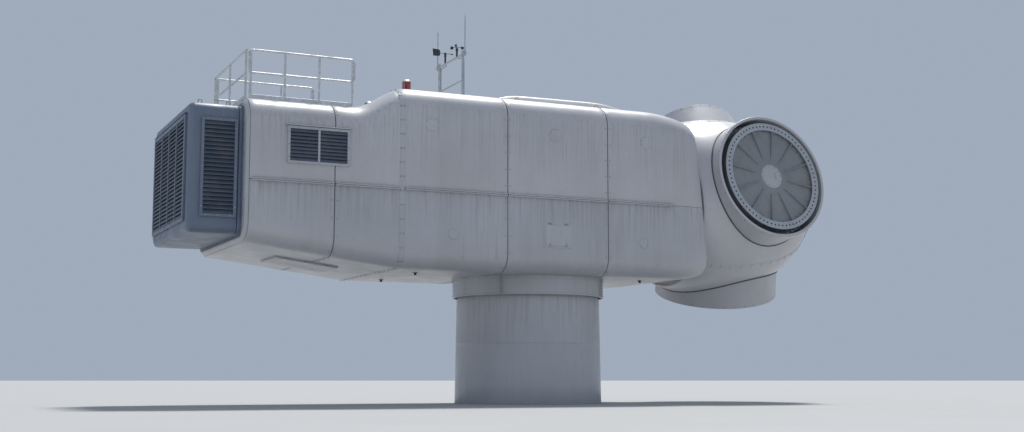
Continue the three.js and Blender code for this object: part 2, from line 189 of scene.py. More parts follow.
def paint(name, base, dirt=(0.20, 0.185, 0.16), grime=0.34, rough=(0.30, 0.52), wave=0.012, streaks=1.0, coat=0.12, spots=0.0,
          fresh=None, edges=(), tones=()):
    """Gel coat or paint: patchy tone, run-down streaks, dust in fine speckle and slight waviness.
    edges: heights under which streaks begin, as (z, reach)."""
    m, nt, b, co = _start(name)
    patch = _noise(nt, co, 0.45, 5)
    lighter = tuple(min(1, c * 1.06) for c in base) if fresh is None else fresh
    darker = tuple(c * 0.90 for c in base)
    col = _mix(nt, darker, lighter, _ramp(nt, patch, [(0.32, 0.0), (0.68, 1.0)]))
    fine = _noise(nt, co, 9.0, 8, 0.65)
    col = _mix(nt, col, tuple(c * 0.86 for c in base), _math(nt, "MULTIPLY", _ramp(nt, fine, [(0.50, 0.0), (0.80, 1.0)]), 0.5))
    if tones:
        xyz = _node(nt, "ShaderNodeSeparateXYZ", -900, 300)
        nt.links.new(co, xyz.inputs[0])
        along = _math(nt, "DIVIDE", _math(nt, "ADD", xyz.outputs[0], 8.0), 12.0)
        step = _node(nt, "ShaderNodeValToRGB", -500, 300)
        step.color_ramp.interpolation = "CONSTANT"
        el = step.color_ramp.elements
        while len(el) < len(tones):
            el.new(0.5)
        for e, (x, t) in zip(el, tones):
            e.position, e.color = (x + 8.0) / 12.0, (t, t, t * 1.004, 1)
        nt.links.new(along, step.inputs[0])
        col = _mix(nt, col, step.outputs[0], 1.0, "MULTIPLY")
    fine_run = _ramp(nt, _noise(nt, co, 3.2, 7, 0.6, stretch=(3.4, 3.4, 0.16)), [(0.55, 0.0), (0.80, 0.8)])
    wide_run = _ramp(nt, _noise(nt, co, 1.3, 6, 0.6, stretch=(2.2, 2.2, 0.10)), [(0.50, 0.0), (0.78, 0.75)])
    runs = _math(nt, "MAXIMUM", fine_run, wide_run)
    where = _ramp(nt, _noise(nt, co, 0.7, 3, stretch=(1.0, 1.0, 0.5)), [(0.38, 0.15), (0.66, 1.0)])
    fac = _math(nt, "MULTIPLY", runs, where)
    if edges:
        sep = _node(nt, "ShaderNodeSeparateXYZ", -900, -200)
        nt.links.new(co, sep.inputs[0])
        near = None
        for z, reach in edges:
            t = _math(nt, "DIVIDE", _math(nt, "SUBTRACT", z, sep.outputs[2]), reach)
            under = _math(nt, "SUBTRACT", 1.0, t, clamp=True)
            below = _math(nt, "GREATER_THAN", t, 0.0)
            one = _math(nt, "MULTIPLY", under, below)
            near = one if near is None else _math(nt, "MAXIMUM", near, one)
        sharp = _noise(nt, co, 6.0, 6, 0.6, stretch=(4.0, 4.0, 0.12))
        marks = _math(nt, "MULTIPLY", _ramp(nt, sharp, [(0.46, 0.0), (0.66, 1.0)]), near)
        fac = _math(nt, "MAXIMUM", fac, marks)
    fac = _math(nt, "MULTIPLY", fac, grime * streaks, clamp=True)
    col = _mix(nt, col, dirt, fac)
    if spots:
        vor = _node(nt, "ShaderNodeTexVoronoi", -700, -500, Scale=2.6)
        nt.links.new(co, vor.inputs["Vector"])
        spot = _ramp(nt, vor.outputs["Distance"], [(0.03, 1.0), (0.07, 0.0)])
        col = _mix(nt, col, (0.10, 0.075, 0.05), _math(nt, "MULTIPLY", spot, spots))
    nt.links.new(col, b.inputs["Base Color"])
    r = _ramp(nt, _noise(nt, co, 2.2, 6), [(0.3, rough[0]), (0.7, rough[1])])
    nt.links.new(_math(nt, "ADD", r, _math(nt, "MULTIPLY", fac, 0.35), clamp=True), b.inputs["Roughness"])
    b.inputs["Coat Weight"].default_value = coat
    b.inputs["Coat Roughness"].default_value = 0.25
    _bump(nt, b, [(_noise(nt, co, 0.9, 2), 0.35, wave), (_noise(nt, co, 140.0, 2), 0.10, 0.0006)])
    return m


def metal(name, base, rough=(0.35, 0.6), metallic=1.0, scale=24.0, stain=(0.25, 0.20, 0.15), grime=0.2, spangle=False, bump=0.0008):
    m, nt, b, co = _start(name)
    if spangle:
        vor = _node(nt, "ShaderNodeTexVoronoi", -700, 0, Scale=scale)
        nt.links.new(co, vor.inputs["Vector"])
        tone = _node(nt, "ShaderNodeSeparateColor", -500, 0)
        nt.links.new(vor.outputs["Color"], tone.inputs[0])
        f = tone.outputs[0]
    else:
        f = _noise(nt, co, scale, 8, 0.7)
    col = _mix(nt, tuple(c * 0.80 for c in base), tuple(min(1, c * 1.12) for c in base), f)
    old = _ramp(nt, _noise(nt, co, 3.0, 8, 0.65), [(0.48, 0.0), (0.72, 1.0)])
    col = _mix(nt, col, stain, _math(nt, "MULTIPLY", old, grime))
    nt.links.new(col, b.inputs["Base Color"])
    b.inputs["Metallic"].default_value = metallic
    r = _ramp(nt, f, [(0.2, rough[0]), (0.8, rough[1])])
    nt.links.new(_math(nt, "ADD", r, _math(nt, "MULTIPLY", old, 0.2), clamp=True), b.inputs["Roughness"])
    _bump(nt, b, [(_noise(nt, co, scale * 3, 4), 0.3, bump)])
    return m


def rubbery(name, base, rough=0.7, lines=None):
    m, nt, b, co = _start(name)
    f = _noise(nt, co, 30.0, 6)
    col = _mix(nt, tuple(c * 0.7 for c in base), tuple(min(1, c * 1.5 + 0.01) for c in base), f)
    dust = _ramp(nt, _noise(nt, co, 4.0, 6), [(0.5, 0.0), (0.8, 1.0)])
    col = _mix(nt, col, (0.22, 0.21, 0.19), _math(nt, "MULTIPLY", dust, 0.3))
    nt.links.new(col, b.inputs["Base Color"])
    nt.links.new(_ramp(nt, f, [(0.2, rough - 0.12), (0.8, rough + 0.12)]), b.inputs["Roughness"])
    _bump(nt, b, [(_noise(nt, co, 180.0, 3), 0.4, 0.001)])
    return m


def gritty(name, base):
    """Non-slip coating with grit."""
    m, nt, b, co = _start(name)
    f = _noise(nt, co, 90.0, 4, 0.7)
    wear = _ramp(nt, _noise(nt, co, 1.6, 6), [(0.42, 0.0), (0.7, 1.0)])
    col = _mix(nt, tuple(c * 0.75 for c in base), base, f)
    col = _mix(nt, col, tuple(min(1, c * 1.35) for c in base), _math(nt, "MULTIPLY", wear, 0.5))
    nt.links.new(col, b.inputs["Base Color"])
    b.inputs["Roughness"].default_value = 0.9
    _bump(nt, b, [(f, 0.8, 0.003)])
    return m


def checker_plate(name, base):
    """Tread plate with crossing raised bars, on the platform."""
    m, nt, b, co = _start(name)
    heights = []
    for rot, sx in ((0.785, 1.0), (-0.785, 1.0)):
        mp = _node(nt, "ShaderNodeMapping", -900, 0)
        mp.inputs["Rotation"].default_value = (0, 0, rot)
        mp.inputs["Scale"].default_value = (1.0, 0.42, 1.0)
        nt.links.new(co, mp.inputs["Vector"])
        v = _node(nt, "ShaderNodeTexVoronoi", -700, 0, Scale=16.0, Randomness=0.0)
        v.voronoi_dimensions = "2D"
        nt.links.new(mp.outputs["Vector"], v.inputs["Vector"])
        heights.append(_ramp(nt, v.outputs["Distance"], [(0.18, 1.0), (0.26, 0.0)]))
    h = _math(nt, "MAXIMUM", heights[0], heights[1])
    # raised bars painted lighter than the plate between them: a painted highlight on the bars, painted shade in the
    # grooves
    col = _mix(nt, base, tuple(min(1, c * 1.35) for c in base), h)
    col = _mix(nt, col, (0.14, 0.12, 0.10), _math(nt, "MULTIPLY", _ramp(nt, _noise(nt, co, 2.5, 7), [(0.45, 0.0), (0.75, 1.0)]), 0.55))
    nt.links.new(col, b.inputs["Base Color"])
    b.inputs["Metallic"].default_value = 0.85
    nt.links.new(_ramp(nt, _noise(nt, co, 12.0, 6), [(0.3, 0.35), (0.7, 0.6)]), b.inputs["Roughness"])
    _bump(nt, b, [(h, 0.8, 0.004)])
    return m


def lens(name, base):
    m, nt, b, co = _start(name)
    f = _noise(nt, co, 14.0, 4)
    col = _mix(nt, tuple(c * 0.6 for c in base), base, f)
    nt.links.new(col, b.inputs["Base Color"])
    nt.links.new(_ramp(nt, f, [(0.3, 0.06), (0.8, 0.18)]), b.inputs["Roughness"])
    b.inputs["Coat Weight"].default_value = 1.0
    b.inputs["Coat Roughness"].default_value = 0.05
    b.inputs["Transmission Weight"].default_value = 0.25
    _bump(nt, b, [(f, 0.1, 0.001)])
    return m


GEL = (0.52, 0.525, 0.550)
TONES_U = ((-8.0, 0.975), (-5.35, 1.0), (-3.9, 0.965), (-1.5, 1.0), (0.95, 0.98))
TONES_L = ((-8.0, 1.0), (-5.35, 0.965), (-3.9, 0.99), (-1.5, 0.96), (0.95, 1.0))
M = {
    "upper": paint("gel_coat_upper", GEL, grime=0.30, rough=(0.28, 0.46), coat=0.2, tones=TONES_U, edges=((REAR_ROOF_Z - 0.35, 1.2), (ROOF_Z - 0.4, 1.3))),
    "lower": paint("gel_coat_lower", tuple(c * 0.97 for c in GEL), grime=0.46, tones=TONES_L, edges=((SEAM_Z, 1.0),), spots=0.25),
    "fairing": paint("gel_coat_fairing", tuple(c * 1.02 for c in GEL), grime=0.25),
    "spin": paint("gel_coat_spinner", tuple(c * 1.01 for c in GEL), grime=0.22, streaks=0.7, rough=(0.26, 0.44), coat=0.2),
    "cuff": paint("gel_coat_cuff", tuple(c * 0.96 for c in GEL), grime=0.30, rough=(0.3, 0.5)),
    "panel": paint("panel_paint", (0.47, 0.48, 0.505), grime=0.38),
    "hatch": paint("hatch_paint", (0.50, 0.51, 0.53), grime=0.35, rough=(0.4, 0.6)),
    "tower": paint("tower_paint", (0.51, 0.517, 0.543), grime=0.42, rough=(0.28, 0.46), wave=0.008,
                   edges=((CAN_H, 1.6),), spots=0.15),
    "cooler": paint("cooler_paint", (0.150, 0.190, 0.262), dirt=(0.30, 0.30, 0.29), grime=0.28, rough=(0.36, 0.58), coat=0.05,
                    edges=((COOL_Z1 - 0.1, 1.4),)),
    "slat": metal("slat_paint", (0.115, 0.145, 0.195), rough=(0.38, 0.55), metallic=0.35, scale=8.0, stain=(0.27, 0.26, 0.24), grime=0.35),
    # near-black backing behind the louvres: painted shade for the dark space behind the slats, and the radiator core on
    # the cooler
    "core": metal("radiator_and_painted_shade_backing", (0.035, 0.04, 0.05), rough=(0.5, 0.7), metallic=0.6, scale=40.0, grime=0.4),
    "seal": rubbery("joint_sealant", (0.085, 0.09, 0.10)),
    "rubber": rubbery("rubber_lip", (0.03, 0.03, 0.033)),
    "black": rubbery("black_plastic", (0.035, 0.035, 0.04), 0.5),
    "zinc": metal("galvanised_steel", (0.56, 0.58, 0.60), rough=(0.34, 0.58), scale=26.0, spangle=True, grime=0.25),
    "rail": metal("weathered_zinc_rails", (0.66, 0.68, 0.70), rough=(0.38, 0.60), metallic=0.60, scale=26.0, spangle=True, grime=0.22),
    "bolt": metal("zinc_flake_bolts", (0.42, 0.43, 0.44), rough=(0.32, 0.5), scale=30.0, grime=0.35, stain=(0.22, 0.13, 0.07)),
    "machined": metal("machined_steel", (0.55, 0.56, 0.57), rough=(0.22, 0.42), scale=16.0, grime=0.3, stain=(0.24, 0.15, 0.09)),
    "cast": metal("cast_iron_paint", (0.27, 0.29, 0.31), rough=(0.45, 0.65), metallic=0.15, scale=18.0, grime=0.35, bump=0.002),
    "deck": checker_plate("tread_plate", (0.30, 0.31, 0.32)),
    "grit": gritty("non_slip", (0.36, 0.37, 0.38)),
    "red": lens("red_lens", (0.45, 0.02, 0.012)),
    "yellow": paint("anchor_yellow", (0.72, 0.42, 0.03), grime=0.4, rough=(0.4, 0.6)),
}


# ------------------------------------------------------------------ mesh building
class Acc:
    def __init__(self):
        self.v, self.f = [], []

    def add(self, verts, faces, m=None):
        n = len(self.v)
        if m is not None:
            verts = [m @ Vector(p) for p in verts]
        self.v.extend(tuple(p) for p in verts)
        self.f.extend(tuple(i + n for i in f) for f in faces)
        return self


def make(name, acc, body, mat, replaces=(), angle=34, bevel=0.0, segs=2, at=38):
    bm = bmesh.new()
    vs = [bm.verts.new(p) for p in acc.v]
    bm.verts.ensure_lookup_table()
    for f in acc.f:
        try:
            bm.faces.new([vs[i] for i in f])
        except ValueError:
            pass
    if bevel:
        bm.normal_update()
        edges = [e for e in bm.edges if len(e.link_faces) == 2 and e.calc_face_angle(0) > math.radians(at)]
        bmesh.ops.bevel(bm, geom=edges, offset=bevel, offset_type="OFFSET", segments=segs, profile=0.5,
                        affect="EDGES", clamp_overlap=True)
    return from_bm(name, bm, body, mat, replaces, angle)


def from_bm(name, bm, body, mat, replaces=(), angle=34):
    loose = [v for v in bm.verts if not v.link_faces]
    if loose:
        bmesh.ops.delete(bm, geom=loose, context="VERTS")
    bmesh.ops.recalc_face_normals(bm, faces=bm.faces)
    me = bpy.data.meshes.new(name)
    bm.to_mesh(me)
    bm.free()
    me.materials.append(M[mat])
    me.shade_smooth()
    me.set_sharp_from_angle(angle=math.radians(angle))
    o = bpy.data.objects.new(name, me)
    scene.collection.objects.link(o)
    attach(o, body)
    if replaces:
        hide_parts(*replaces)
    return o


def revolve(acc, profile, seg, m, closed=False):
    """Profile of (radius, height); runs with the outside on its right when rising."""
    ids, verts, faces = [], [], []
    for r, h in profile:
        if r < 1e-6:
            ids.append([len(verts)])
            verts.append((0, 0, h))
        else:
            row = []
            for i in range(seg):
                p = TAU * i / seg
                row.append(len(verts))
                verts.append((r * math.cos(p), r * math.sin(p), h))
            ids.append(row)
    n = len(profile)
    for j in range(n if closed else n - 1):
        lo, hi = ids[j], ids[(j + 1) % n]
        for i in range(seg):
            k = (i + 1) % seg
            if len(lo) == 1:
                faces.append((lo[0], hi[k], hi[i]))
            elif len(hi) == 1:
                faces.append((lo[i], lo[k], hi[0]))
            else:
                faces.append((lo[i], lo[k], hi[k], hi[i]))
    return acc.add(verts, faces, m)


def fillet(pts, n=4, closed=True):
    """Outline of (y, z, radius) with its corners rounded."""
    out, m = [], len(pts)
    for i, (y, z, r) in enumerate(pts):
        if not r or (not closed and i in (0, m - 1)):
            out.append((y, z))
            continue
        a, b = pts[(i - 1) % m], pts[(i + 1) % m]
        p = Vector((y, z))
        u = (Vector(a[:2]) - p).normalized()
        v = (Vector(b[:2]) - p).normalized()
        half = math.acos(max(-1, min(1, u.dot(v)))) / 2
        c = p + (u + v).normalized() * (r / math.sin(half))
        s, e = p + u * (r / math.tan(half)) - c, p + v * (r / math.tan(half)) - c
        a0, a1 = math.atan2(s.y, s.x), math.atan2(e.y, e.x)
        while a1 - a0 > math.pi:
            a1 -= TAU
        while a1 - a0 < -math.pi:
            a1 += TAU
        for k in range(n + 1):
            t = a0 + (a1 - a0) * k / n
            out.append((c.x + r * math.cos(t), c.y + r * math.sin(t)))
    return out


def loft(acc, stations, m=None, caps=True):
    """Stations of (x or x(z), outline of (y, z)), x rising, outlines anticlockwise from +X."""
    n = len(stations[0][1])
    verts, faces = [], []
    for x, pts in stations:
        for y, z in pts:
            verts.append((x(z) if callable(x) else x, y, z))
    for s in range(len(stations) - 1):
        for k in range(n):
            a, b = s * n + k, s * n + (k + 1) % n
            faces.append((a, b, b + n, a + n))
    if caps:
        last = (len(stations) - 1) * n
        faces.append(tuple(reversed(range(n))))
        faces.append(tuple(last + i for i in range(n)))
    return acc.add(verts, faces, m)


def cbox(acc, lo, hi, c, m=None):
    """Box with chamfered edges."""
    c = min([c] + [0.49 * (hi[i] - lo[i]) for i in range(3)])
    verts, idx = [], {}
    for sx in (0, 1):
        for sy in (0, 1):
            for sz in (0, 1):
                s = (sx, sy, sz)
                for ax in range(3):
                    p = []
                    for k in range(3):
                        e = (lo[k], hi[k])[s[k]]
                        p.append(e if k == ax else e + (c if s[k] == 0 else -c))
                    idx[(s, ax)] = len(verts)
                    verts.append(tuple(p))
    faces = []
    for ax in range(3):
        u, v = (ax + 1) % 3, (ax + 2) % 3
        for side in (0, 1):
            loop = []
            for a, b in ((0, 0), (1, 0), (1, 1), (0, 1)):
                s = [0, 0, 0]
                s[ax], s[u], s[v] = side, a, b
                loop.append(idx[(tuple(s), ax)])
            faces.append(tuple(loop if side else reversed(loop)))
        # edges along this axis
        for a in (0, 1):
            for b in (0, 1):
                s0, s1 = [0, 0, 0], [0, 0, 0]
                s0[ax], s1[ax] = 0, 1
                s0[u] = s1[u] = a
                s0[v] = s1[v] = b
                q = [idx[(tuple(s0), u)], idx[(tuple(s1), u)], idx[(tuple(s1), v)], idx[(tuple(s0), v)]]
                faces.append(tuple(reversed(q) if (a + b) % 2 == 0 else q))
    for sx in (0, 1):
        for sy in (0, 1):
            for sz in (0, 1):
                s = (sx, sy, sz)
                q = [idx[(s, 0)], idx[(s, 1)], idx[(s, 2)]]
                faces.append(tuple(q if (sx + sy + sz) % 2 == 1 else reversed(q)))
    return acc.add(verts, faces, m)


def round_path(pts, rad, n=5):
    """Polyline with its inner corners rounded."""
    pts = [Vector(p) for p in pts]
    out = [pts[0]]
    for a, p, b in zip(pts, pts[1:], pts[2:]):
        u, v = (a - p), (b - p)
        r = min(rad, u.length * 0.45, v.length * 0.45)
        s, e = p + u.normalized() * r, p + v.normalized() * r
        for k in range(n + 1):
            t = k / n
            out.append(s * (1 - t) ** 2 + p * 2 * t * (1 - t) + e * t * t)
    out.append(pts[-1])
    return out


def tube(acc, pts, r, sides=14, closed=False, m=None):
    pts = [Vector(p) for p in pts]
    n = len(pts)
    verts, faces = [], []
    ref = None
    for i, p in enumerate(pts):
        if closed:
            t = (pts[(i + 1) % n] - pts[i - 1]).normalized()
        else:
            t = (pts[min(i + 1, n - 1)] - pts[max(i - 1, 0)]).normalized()
        if ref is None:
            ref = Vector((0, 0, 1)) if abs(t.z) < 0.9 else Vector((1, 0, 0))
        x = (ref - t * ref.dot(t)).normalized()
        y = t.cross(x)
        ref = x
        for k in range(sides):
            a = TAU * k / sides
            verts.append(p + (x * math.cos(a) + y * math.sin(a)) * r)
    for i in range(n if closed else n - 1):
        for k in range(sides):
            a, b = i * sides + k, i * sides + (k + 1) % sides
            c, d = ((i + 1) % n) * sides + (k + 1) % sides, ((i + 1) % n) * sides + k
            faces.append((a, b, c, d))
    if not closed:
        faces.append(tuple(reversed(range(sides))))
        faces.append(tuple((n - 1) * sides + k for k in range(sides)))
    return acc.add(verts, faces, m)


def bolt(acc, p, normal, r=0.018, h=0.016, turn=0.0, washer=True):
    """Hexagon head with a washer, seated on p."""
    z = Vector(normal).normalized()
    x = (Vector((0, 0, 1)) if abs(z.z) < 0.9 else Vector((1, 0, 0))).cross(z).normalized()
    y = z.cross(x)
    p = Vector(p)
    rings = []
    if washer:
        rings += [(r * 1.45, -0.004, 12), (r * 1.45, h * 0.22, 12)]
        v, f = [], []
        for rr, hh, s in rings:
            v += [p + (x * math.cos(TAU * k / s) + y * math.sin(TAU * k / s)) * rr + z * hh for k in range(s)]
        f += [(k, (k + 1) % 12, 12 + (k + 1) % 12, 12 + k) for k in range(12)]
        f += [tuple(12 + k for k in range(12)), tuple(reversed(range(12)))]
        acc.add(v, f)
    v, f = [], []
    base = h * 0.22 + 0.0003 if washer else -0.004
    for rr, hh in ((r, base), (r, h * 0.86), (r * 0.86, h)):
        v += [p + (x * math.cos(turn + TAU * k / 6) + y * math.sin(turn + TAU * k / 6)) * rr + z * hh for k in range(6)]
    for j in range(2):
        f += [(j * 6 + k, j * 6 + (k + 1) % 6, j * 6 + 6 + (k + 1) % 6, j * 6 + 6 + k) for k in range(6)]
    f += [tuple(12 + k for k in range(6)), tuple(reversed(range(6)))]
    acc.add(v, f)
    return acc


def holed_ring(acc, ro, ri, rc, rh, count, h0, h1, m, hn=12):
    """Flat ring h0..h1 with a circle of through holes; each sector carries one hole."""
    verts, faces = [], []
    per = 4
    index = {}

    def vid(p, key=None):
        if key is not None and key in index:
            return index[key]
        verts.append(p)
        if key is not None:
            index[key] = len(verts) - 1
        return len(verts) - 1

    step = TAU / count
    for i in range(count):
        a0 = i * step
        for side, h in ((0, h0), (1, h1)):
            edge = []
            # sector outline, anticlockwise: outer arc, left side, inner arc, right side
            for k in range(per + 1):
                a = a0 + step * k / per
                edge.append(((ro * math.cos(a), ro * math.sin(a), h), ("o", side, (i * per + k) % (count * per))))
            a = a0 + step
            edge.append(((rc * math.cos(a), rc * math.sin(a), h), ("c", side, (i + 1) % count)))
            for k in range(per, -1, -1):
                a = a0 + step * k / per
                edge.append(((ri * math.cos(a), ri * math.sin(a), h), ("i", side, (i * per + k) % (count * per))))
            edge.append(((rc * math.cos(a0), rc * math.sin(a0), h), ("c", side, i)))
            ids = [vid(p, key) for p, key in edge]
            ac = a0 + step / 2
            cx, cy = rc * math.cos(ac), rc * math.sin(ac)
            # hole points matched to the outline by direction
            hole = []
            for (px, py, _), _k in edge:
                t = math.atan2(py - cy, px - cx)
                hole.append(vid((cx + rh * math.cos(t), cy + rh * math.sin(t), h), ("h", side, i, len(hole))))
            n = len(ids)
            for k in range(n):
                q = (ids[k], ids[(k + 1) % n], hole[(k + 1) % n], hole[k])
                faces.append(q if side else tuple(reversed(q)))
        n = 2 * (per + 1) + 2
        for k in range(n):
            a, b = index[("h", 0, i, k)], index[("h", 0, i, (k + 1) % n)]
            c, d = index[("h", 1, i, (k + 1) % n)], index[("h", 1, i, k)]
            faces.append((b, a, d, c))
    tot = count * per
    for k in range(tot):
        k1 = (k + 1) % tot
        faces.append((index[("o", 0, k)], index[("o", 0, k1)], index[("o", 1, k1)], index[("o", 1, k)]))
        faces.append((index[("i", 0, k1)], index[("i", 0, k)], index[("i", 1, k)], index[("i", 1, k1)]))
    return acc.add(verts, faces, m)


def face_x(a):
    return lambda z: HUB.x + (a - (z - HUB.z) * math.sin(TILT)) / math.cos(TILT)


# ------------------------------------------------------------------ housing shells
def soft_line(x, knots, r):
    """Height on a polyline with its corners rounded over r either side."""
    for (xa, za), (xb, zb), (xc, zc) in zip(knots, knots[1:], knots[2:]):
        if abs(x - xb) < r:
            s0, s1 = (zb - za) / (xb - xa), (zc - zb) / (xc - xb)
            p0, p1 = zb - s0 * r, zb + s1 * r
            t = (x - (xb - r)) / (2 * r)
            return p0 * (1 - t) ** 2 + zb * 2 * t * (1 - t) + p1 * t * t
    for (xa, za), (xb, zb) in zip(knots, knots[1:]):
        if xa <= x <= xb:
            return za + (zb - za) * (x - xa) / (xb - xa)
    return knots[-1][1] if x > knots[-1][0] else knots[0][1]


ROOF_LINE = [(REAR_X, REAR_ROOF_Z), (RAMP_X, REAR_ROOF_Z), (SPLIT_X, ROOF_Z), (2.30, ROOF_Z), (3.5, ROOF_Z - 0.16)]
FLOOR_LINE = [(REAR_X, REAR_FLOOR_Z), (SPLIT_X, FLOOR_Z), (3.5, FLOOR_Z)]
roof_z = lambda x: soft_line(x, ROOF_LINE, 0.22)
floor_z = lambda x: soft_line(x, FLOOR_LINE, 0.30)
GAP = 0.006


def lower_outline(hw, z0, top, n=12):
    return fillet([(-hw, z0, BOTTOM_RAD), (hw, z0, BOTTOM_RAD), (hw, top, 0), (-hw, top, 0)], n)


def upper_outline(hw, z1, bot, n=12, r=TOP_RAD):
    return fillet([(-hw, bot, 0), (hw, bot, 0), (hw, z1, r), (-hw, z1, r)], n)


def stations(kind, x0, x1, nose=False):
    """Fine stations of one panel between x0 and x1; the foremost one closes in to the front face."""
    out = []
    steps = max(2, int((x1 - x0) / 0.12))
    for k in range(steps + 1):
        x = x0 + (x1 - x0) * k / steps
        if kind == "lower":
            out.append((x, lower_outline(HALF_W, floor_z(x), SEAM_Z - 0.005)))
        else:
            out.append((x, upper_outline(HALF_W, roof_z(x), SEAM_Z)))
    if nose:
        # quarter-round from the flank to the leaned front face
        for k in range(1, 13):
            t = k / 12 * math.pi / 2
            d, inn = math.sin(t), 1 - math.cos(t)
            lean = lambda z, d=d, x=x1: x + (face_x(FACE_A)(z) - x) * d
            if kind == "lower":
                out.append((lean, lower_outline(HALF_W - 0.17 * inn, FLOOR_Z + 0.19 * inn, SEAM_Z - 0.005)))
            else:
                z1 = roof_z(x1) + (ROOF_Z - 0.27 - roof_z(x1)) * (0.35 * d + 0.65 * inn)
                out.append((lean, upper_outline(HALF_W - 0.17 * inn, z1, SEAM_Z)))
    return out


def panels(kind, cuts, nose_x=None):
    acc = Acc()
    for i, (a, b) in enumerate(zip(cuts, cuts[1:])):
        last = nose_x is not None and i == len(cuts) - 2
        loft(acc, stations(kind, a + GAP, (nose_x if last else b - GAP), last))
    return acc


FRONT_CUTS = [SPLIT_X, -1.50, 0.95, SHOULDER_X]
REAR_CUTS = [REAR_X, -5.35, SPLIT_X]
make("lower_cover_front", panels("lower", FRONT_CUTS, 2.70), "nacelle", "lower", ("lower_shell_front",), bevel=0.010)
make("upper_cover_front", panels("upper", FRONT_CUTS, 2.45), "nacelle", "upper", ("upper_shell_front",), bevel=0.010)
make("lower_cover_rear", panels("lower", REAR_CUTS), "nacelle", "lower", ("lower_shell_rear",), bevel=0.010)
make("upper_cover_rear", panels("upper", REAR_CUTS), "nacelle", "upper", ("upper_shell_rear",), bevel=0.010)


def offset(pts, d):
    n = len(pts)
    out = []
    for i in range(n):
        a, p, b = Vector(pts[i - 1]), Vector(pts[i]), Vector(pts[(i + 1) % n])
        e1, e2 = (p - a), (b - p)
        nn = Vector((0.0, 0.0))
        for e in (e1, e2):
            if e.length > 1e-9:
                nn += Vector((e.y, -e.x)).normalized()
        nn.normalize()
        out.append((p.x + nn.x * d, p.y + nn.y * d))
    return out


def whole_outline(x, n=12):
    z0, z1 = floor_z(x), roof_z(x)
    return fillet([(-HALF_W, z0, BOTTOM_RAD), (HALF_W, z0, BOTTOM_RAD), (HALF_W, z1, TOP_RAD), (-HALF_W, z1, TOP_RAD)], n)


def strap(acc, x, width, proud, inset=0.03):
    """Band round the whole section at x."""
    prof = [(-width / 2, -inset), (-width / 2, proud - 0.003), (-width / 2 + 0.004, proud), (width / 2 - 0.004, proud), (width / 2, proud - 0.003), (width / 2, -inset)]
    rings = [(x + dx, offset(whole_outline(x + dx), d)) for dx, d in prof]
    n = len(rings[0][1])
    verts, faces = [], []
    for xx, pts in rings:
        verts += [(xx, y, z) for y, z in pts]
    m = len(rings)
    for s in range(m):
        s1 = (s + 1) % m
        for k in range(n):
            k1 = (k + 1) % n
            faces.append((s * n + k, s * n + k1, s1 * n + k1, s1 * n + k))
    acc.add(verts, faces)


def spaced(pts, step, closed=True):
    """Points with normals at even steps on an outline."""
    out = []
    n = len(pts)
    segs = [(Vector(pts[i]), Vector(pts[(i + 1) % n])) for i in range(n if closed else n - 1)]
    total = sum((b - a).length for a, b in segs)
    count = max(2, round(total / step))
    want, done, k = total / count, 0.0, 0
    for a, b in segs:
        ln = (b - a).length
        while k * want < done + ln and k < count:
            t = (k * want - done) / ln
            e = (b - a).normalized()
            out.append((a + (b - a) * t, Vector((e.y, -e.x))))
            k += 1
        done += ln
    return out


sealed = Acc()
for x in (-1.50, 0.95, -5.35):
    strap(sealed, x, 0.020, 0.0015, 0.05)
make("cover_joint_sealant", sealed, "nacelle", "seal")
acc = Acc()
for x in (-1.50, 0.95, -5.35):
    for dx in (-0.055, 0.055):
        for p, nrm in spaced(whole_outline(x + dx), 0.36):
            if abs(p.y - SEAM_Z) > 0.07 and not (x > -2 and abs(p.x) < 1.35 and p.y > ROOF_Z - 0.1):
                bolt(acc, (x + dx, p.x, p.y), (0, nrm.x, nrm.y), 0.012, 0.007)
make("cover_joint_bolts", acc, "nacelle", "bolt")
split = Acc()
strap(split, SPLIT_X - 0.0025, 0.110, 0.007)
make("cover_split_band", split, "nacelle", "panel")
bolts = Acc()
for dx in (-0.034, 0.034):
    for p, nrm in spaced(offset(whole_outline(SPLIT_X), 0.007), 0.30):
        bolt(bolts, (SPLIT_X - 0.0025 + dx, p.x, p.y), (0, nrm.x, nrm.y), 0.013, 0.012)
make("cover_split_bolts", bolts, "nacelle", "bolt")

# seam flange between the lower and upper covers, both flanks
lip, lipbolts, gasket = Acc(), Acc(), Acc()
LIP_CUTS = [REAR_X + 0.02, -5.35, SPLIT_X - 0.06, -1.50, 0.95, 2.66]
for side in (1, -1):
    for a, b in zip(LIP_CUTS, LIP_CUTS[1:]):
        if b == SPLIT_X - 0.06:
            lo_x, hi_x = a + 0.012, b
        elif a == SPLIT_X - 0.06:
            lo_x, hi_x = a + 0.115, b - 0.012
        else:
            lo_x, hi_x = a + 0.012, b - 0.012
        y0, y1 = sorted((side * (HALF_W - 0.02), side * (HALF_W + 0.046)))
        cbox(lip, (lo_x, y0, SEAM_Z + 0.002), (hi_x, y1, SEAM_Z + 0.026), 0.005)
        cbox(lip, (lo_x, y0, SEAM_Z - 0.031), (hi_x, y1, SEAM_Z - 0.007), 0.005)
        g0, g1 = sorted((side * (HALF_W - 0.02), side * (HALF_W + 0.040)))
        cbox(gasket, (lo_x, g0, SEAM_Z - 0.008), (hi_x, g1, SEAM_Z + 0.003), 0.001)
        count = int((hi_x - lo_x) / 0.26)
        for k in range(count):
            x = lo_x + (hi_x - lo_x) * (k + 0.5) / count
            bolt(lipbolts, (x, side * (HALF_W + 0.024), SEAM_Z + 0.026), (0, 0, 1), 0.011, 0.011)
            bolt(lipbolts, (x, side * (HALF_W + 0.024), SEAM_Z - 0.031), (0, 0, -1), 0.011, 0.013)
make("seam_flange", lip, "nacelle", "upper")
make("seam_gasket", gasket, "nacelle", "seal")
make("seam_bolts", lipbolts, "nacelle", "bolt")

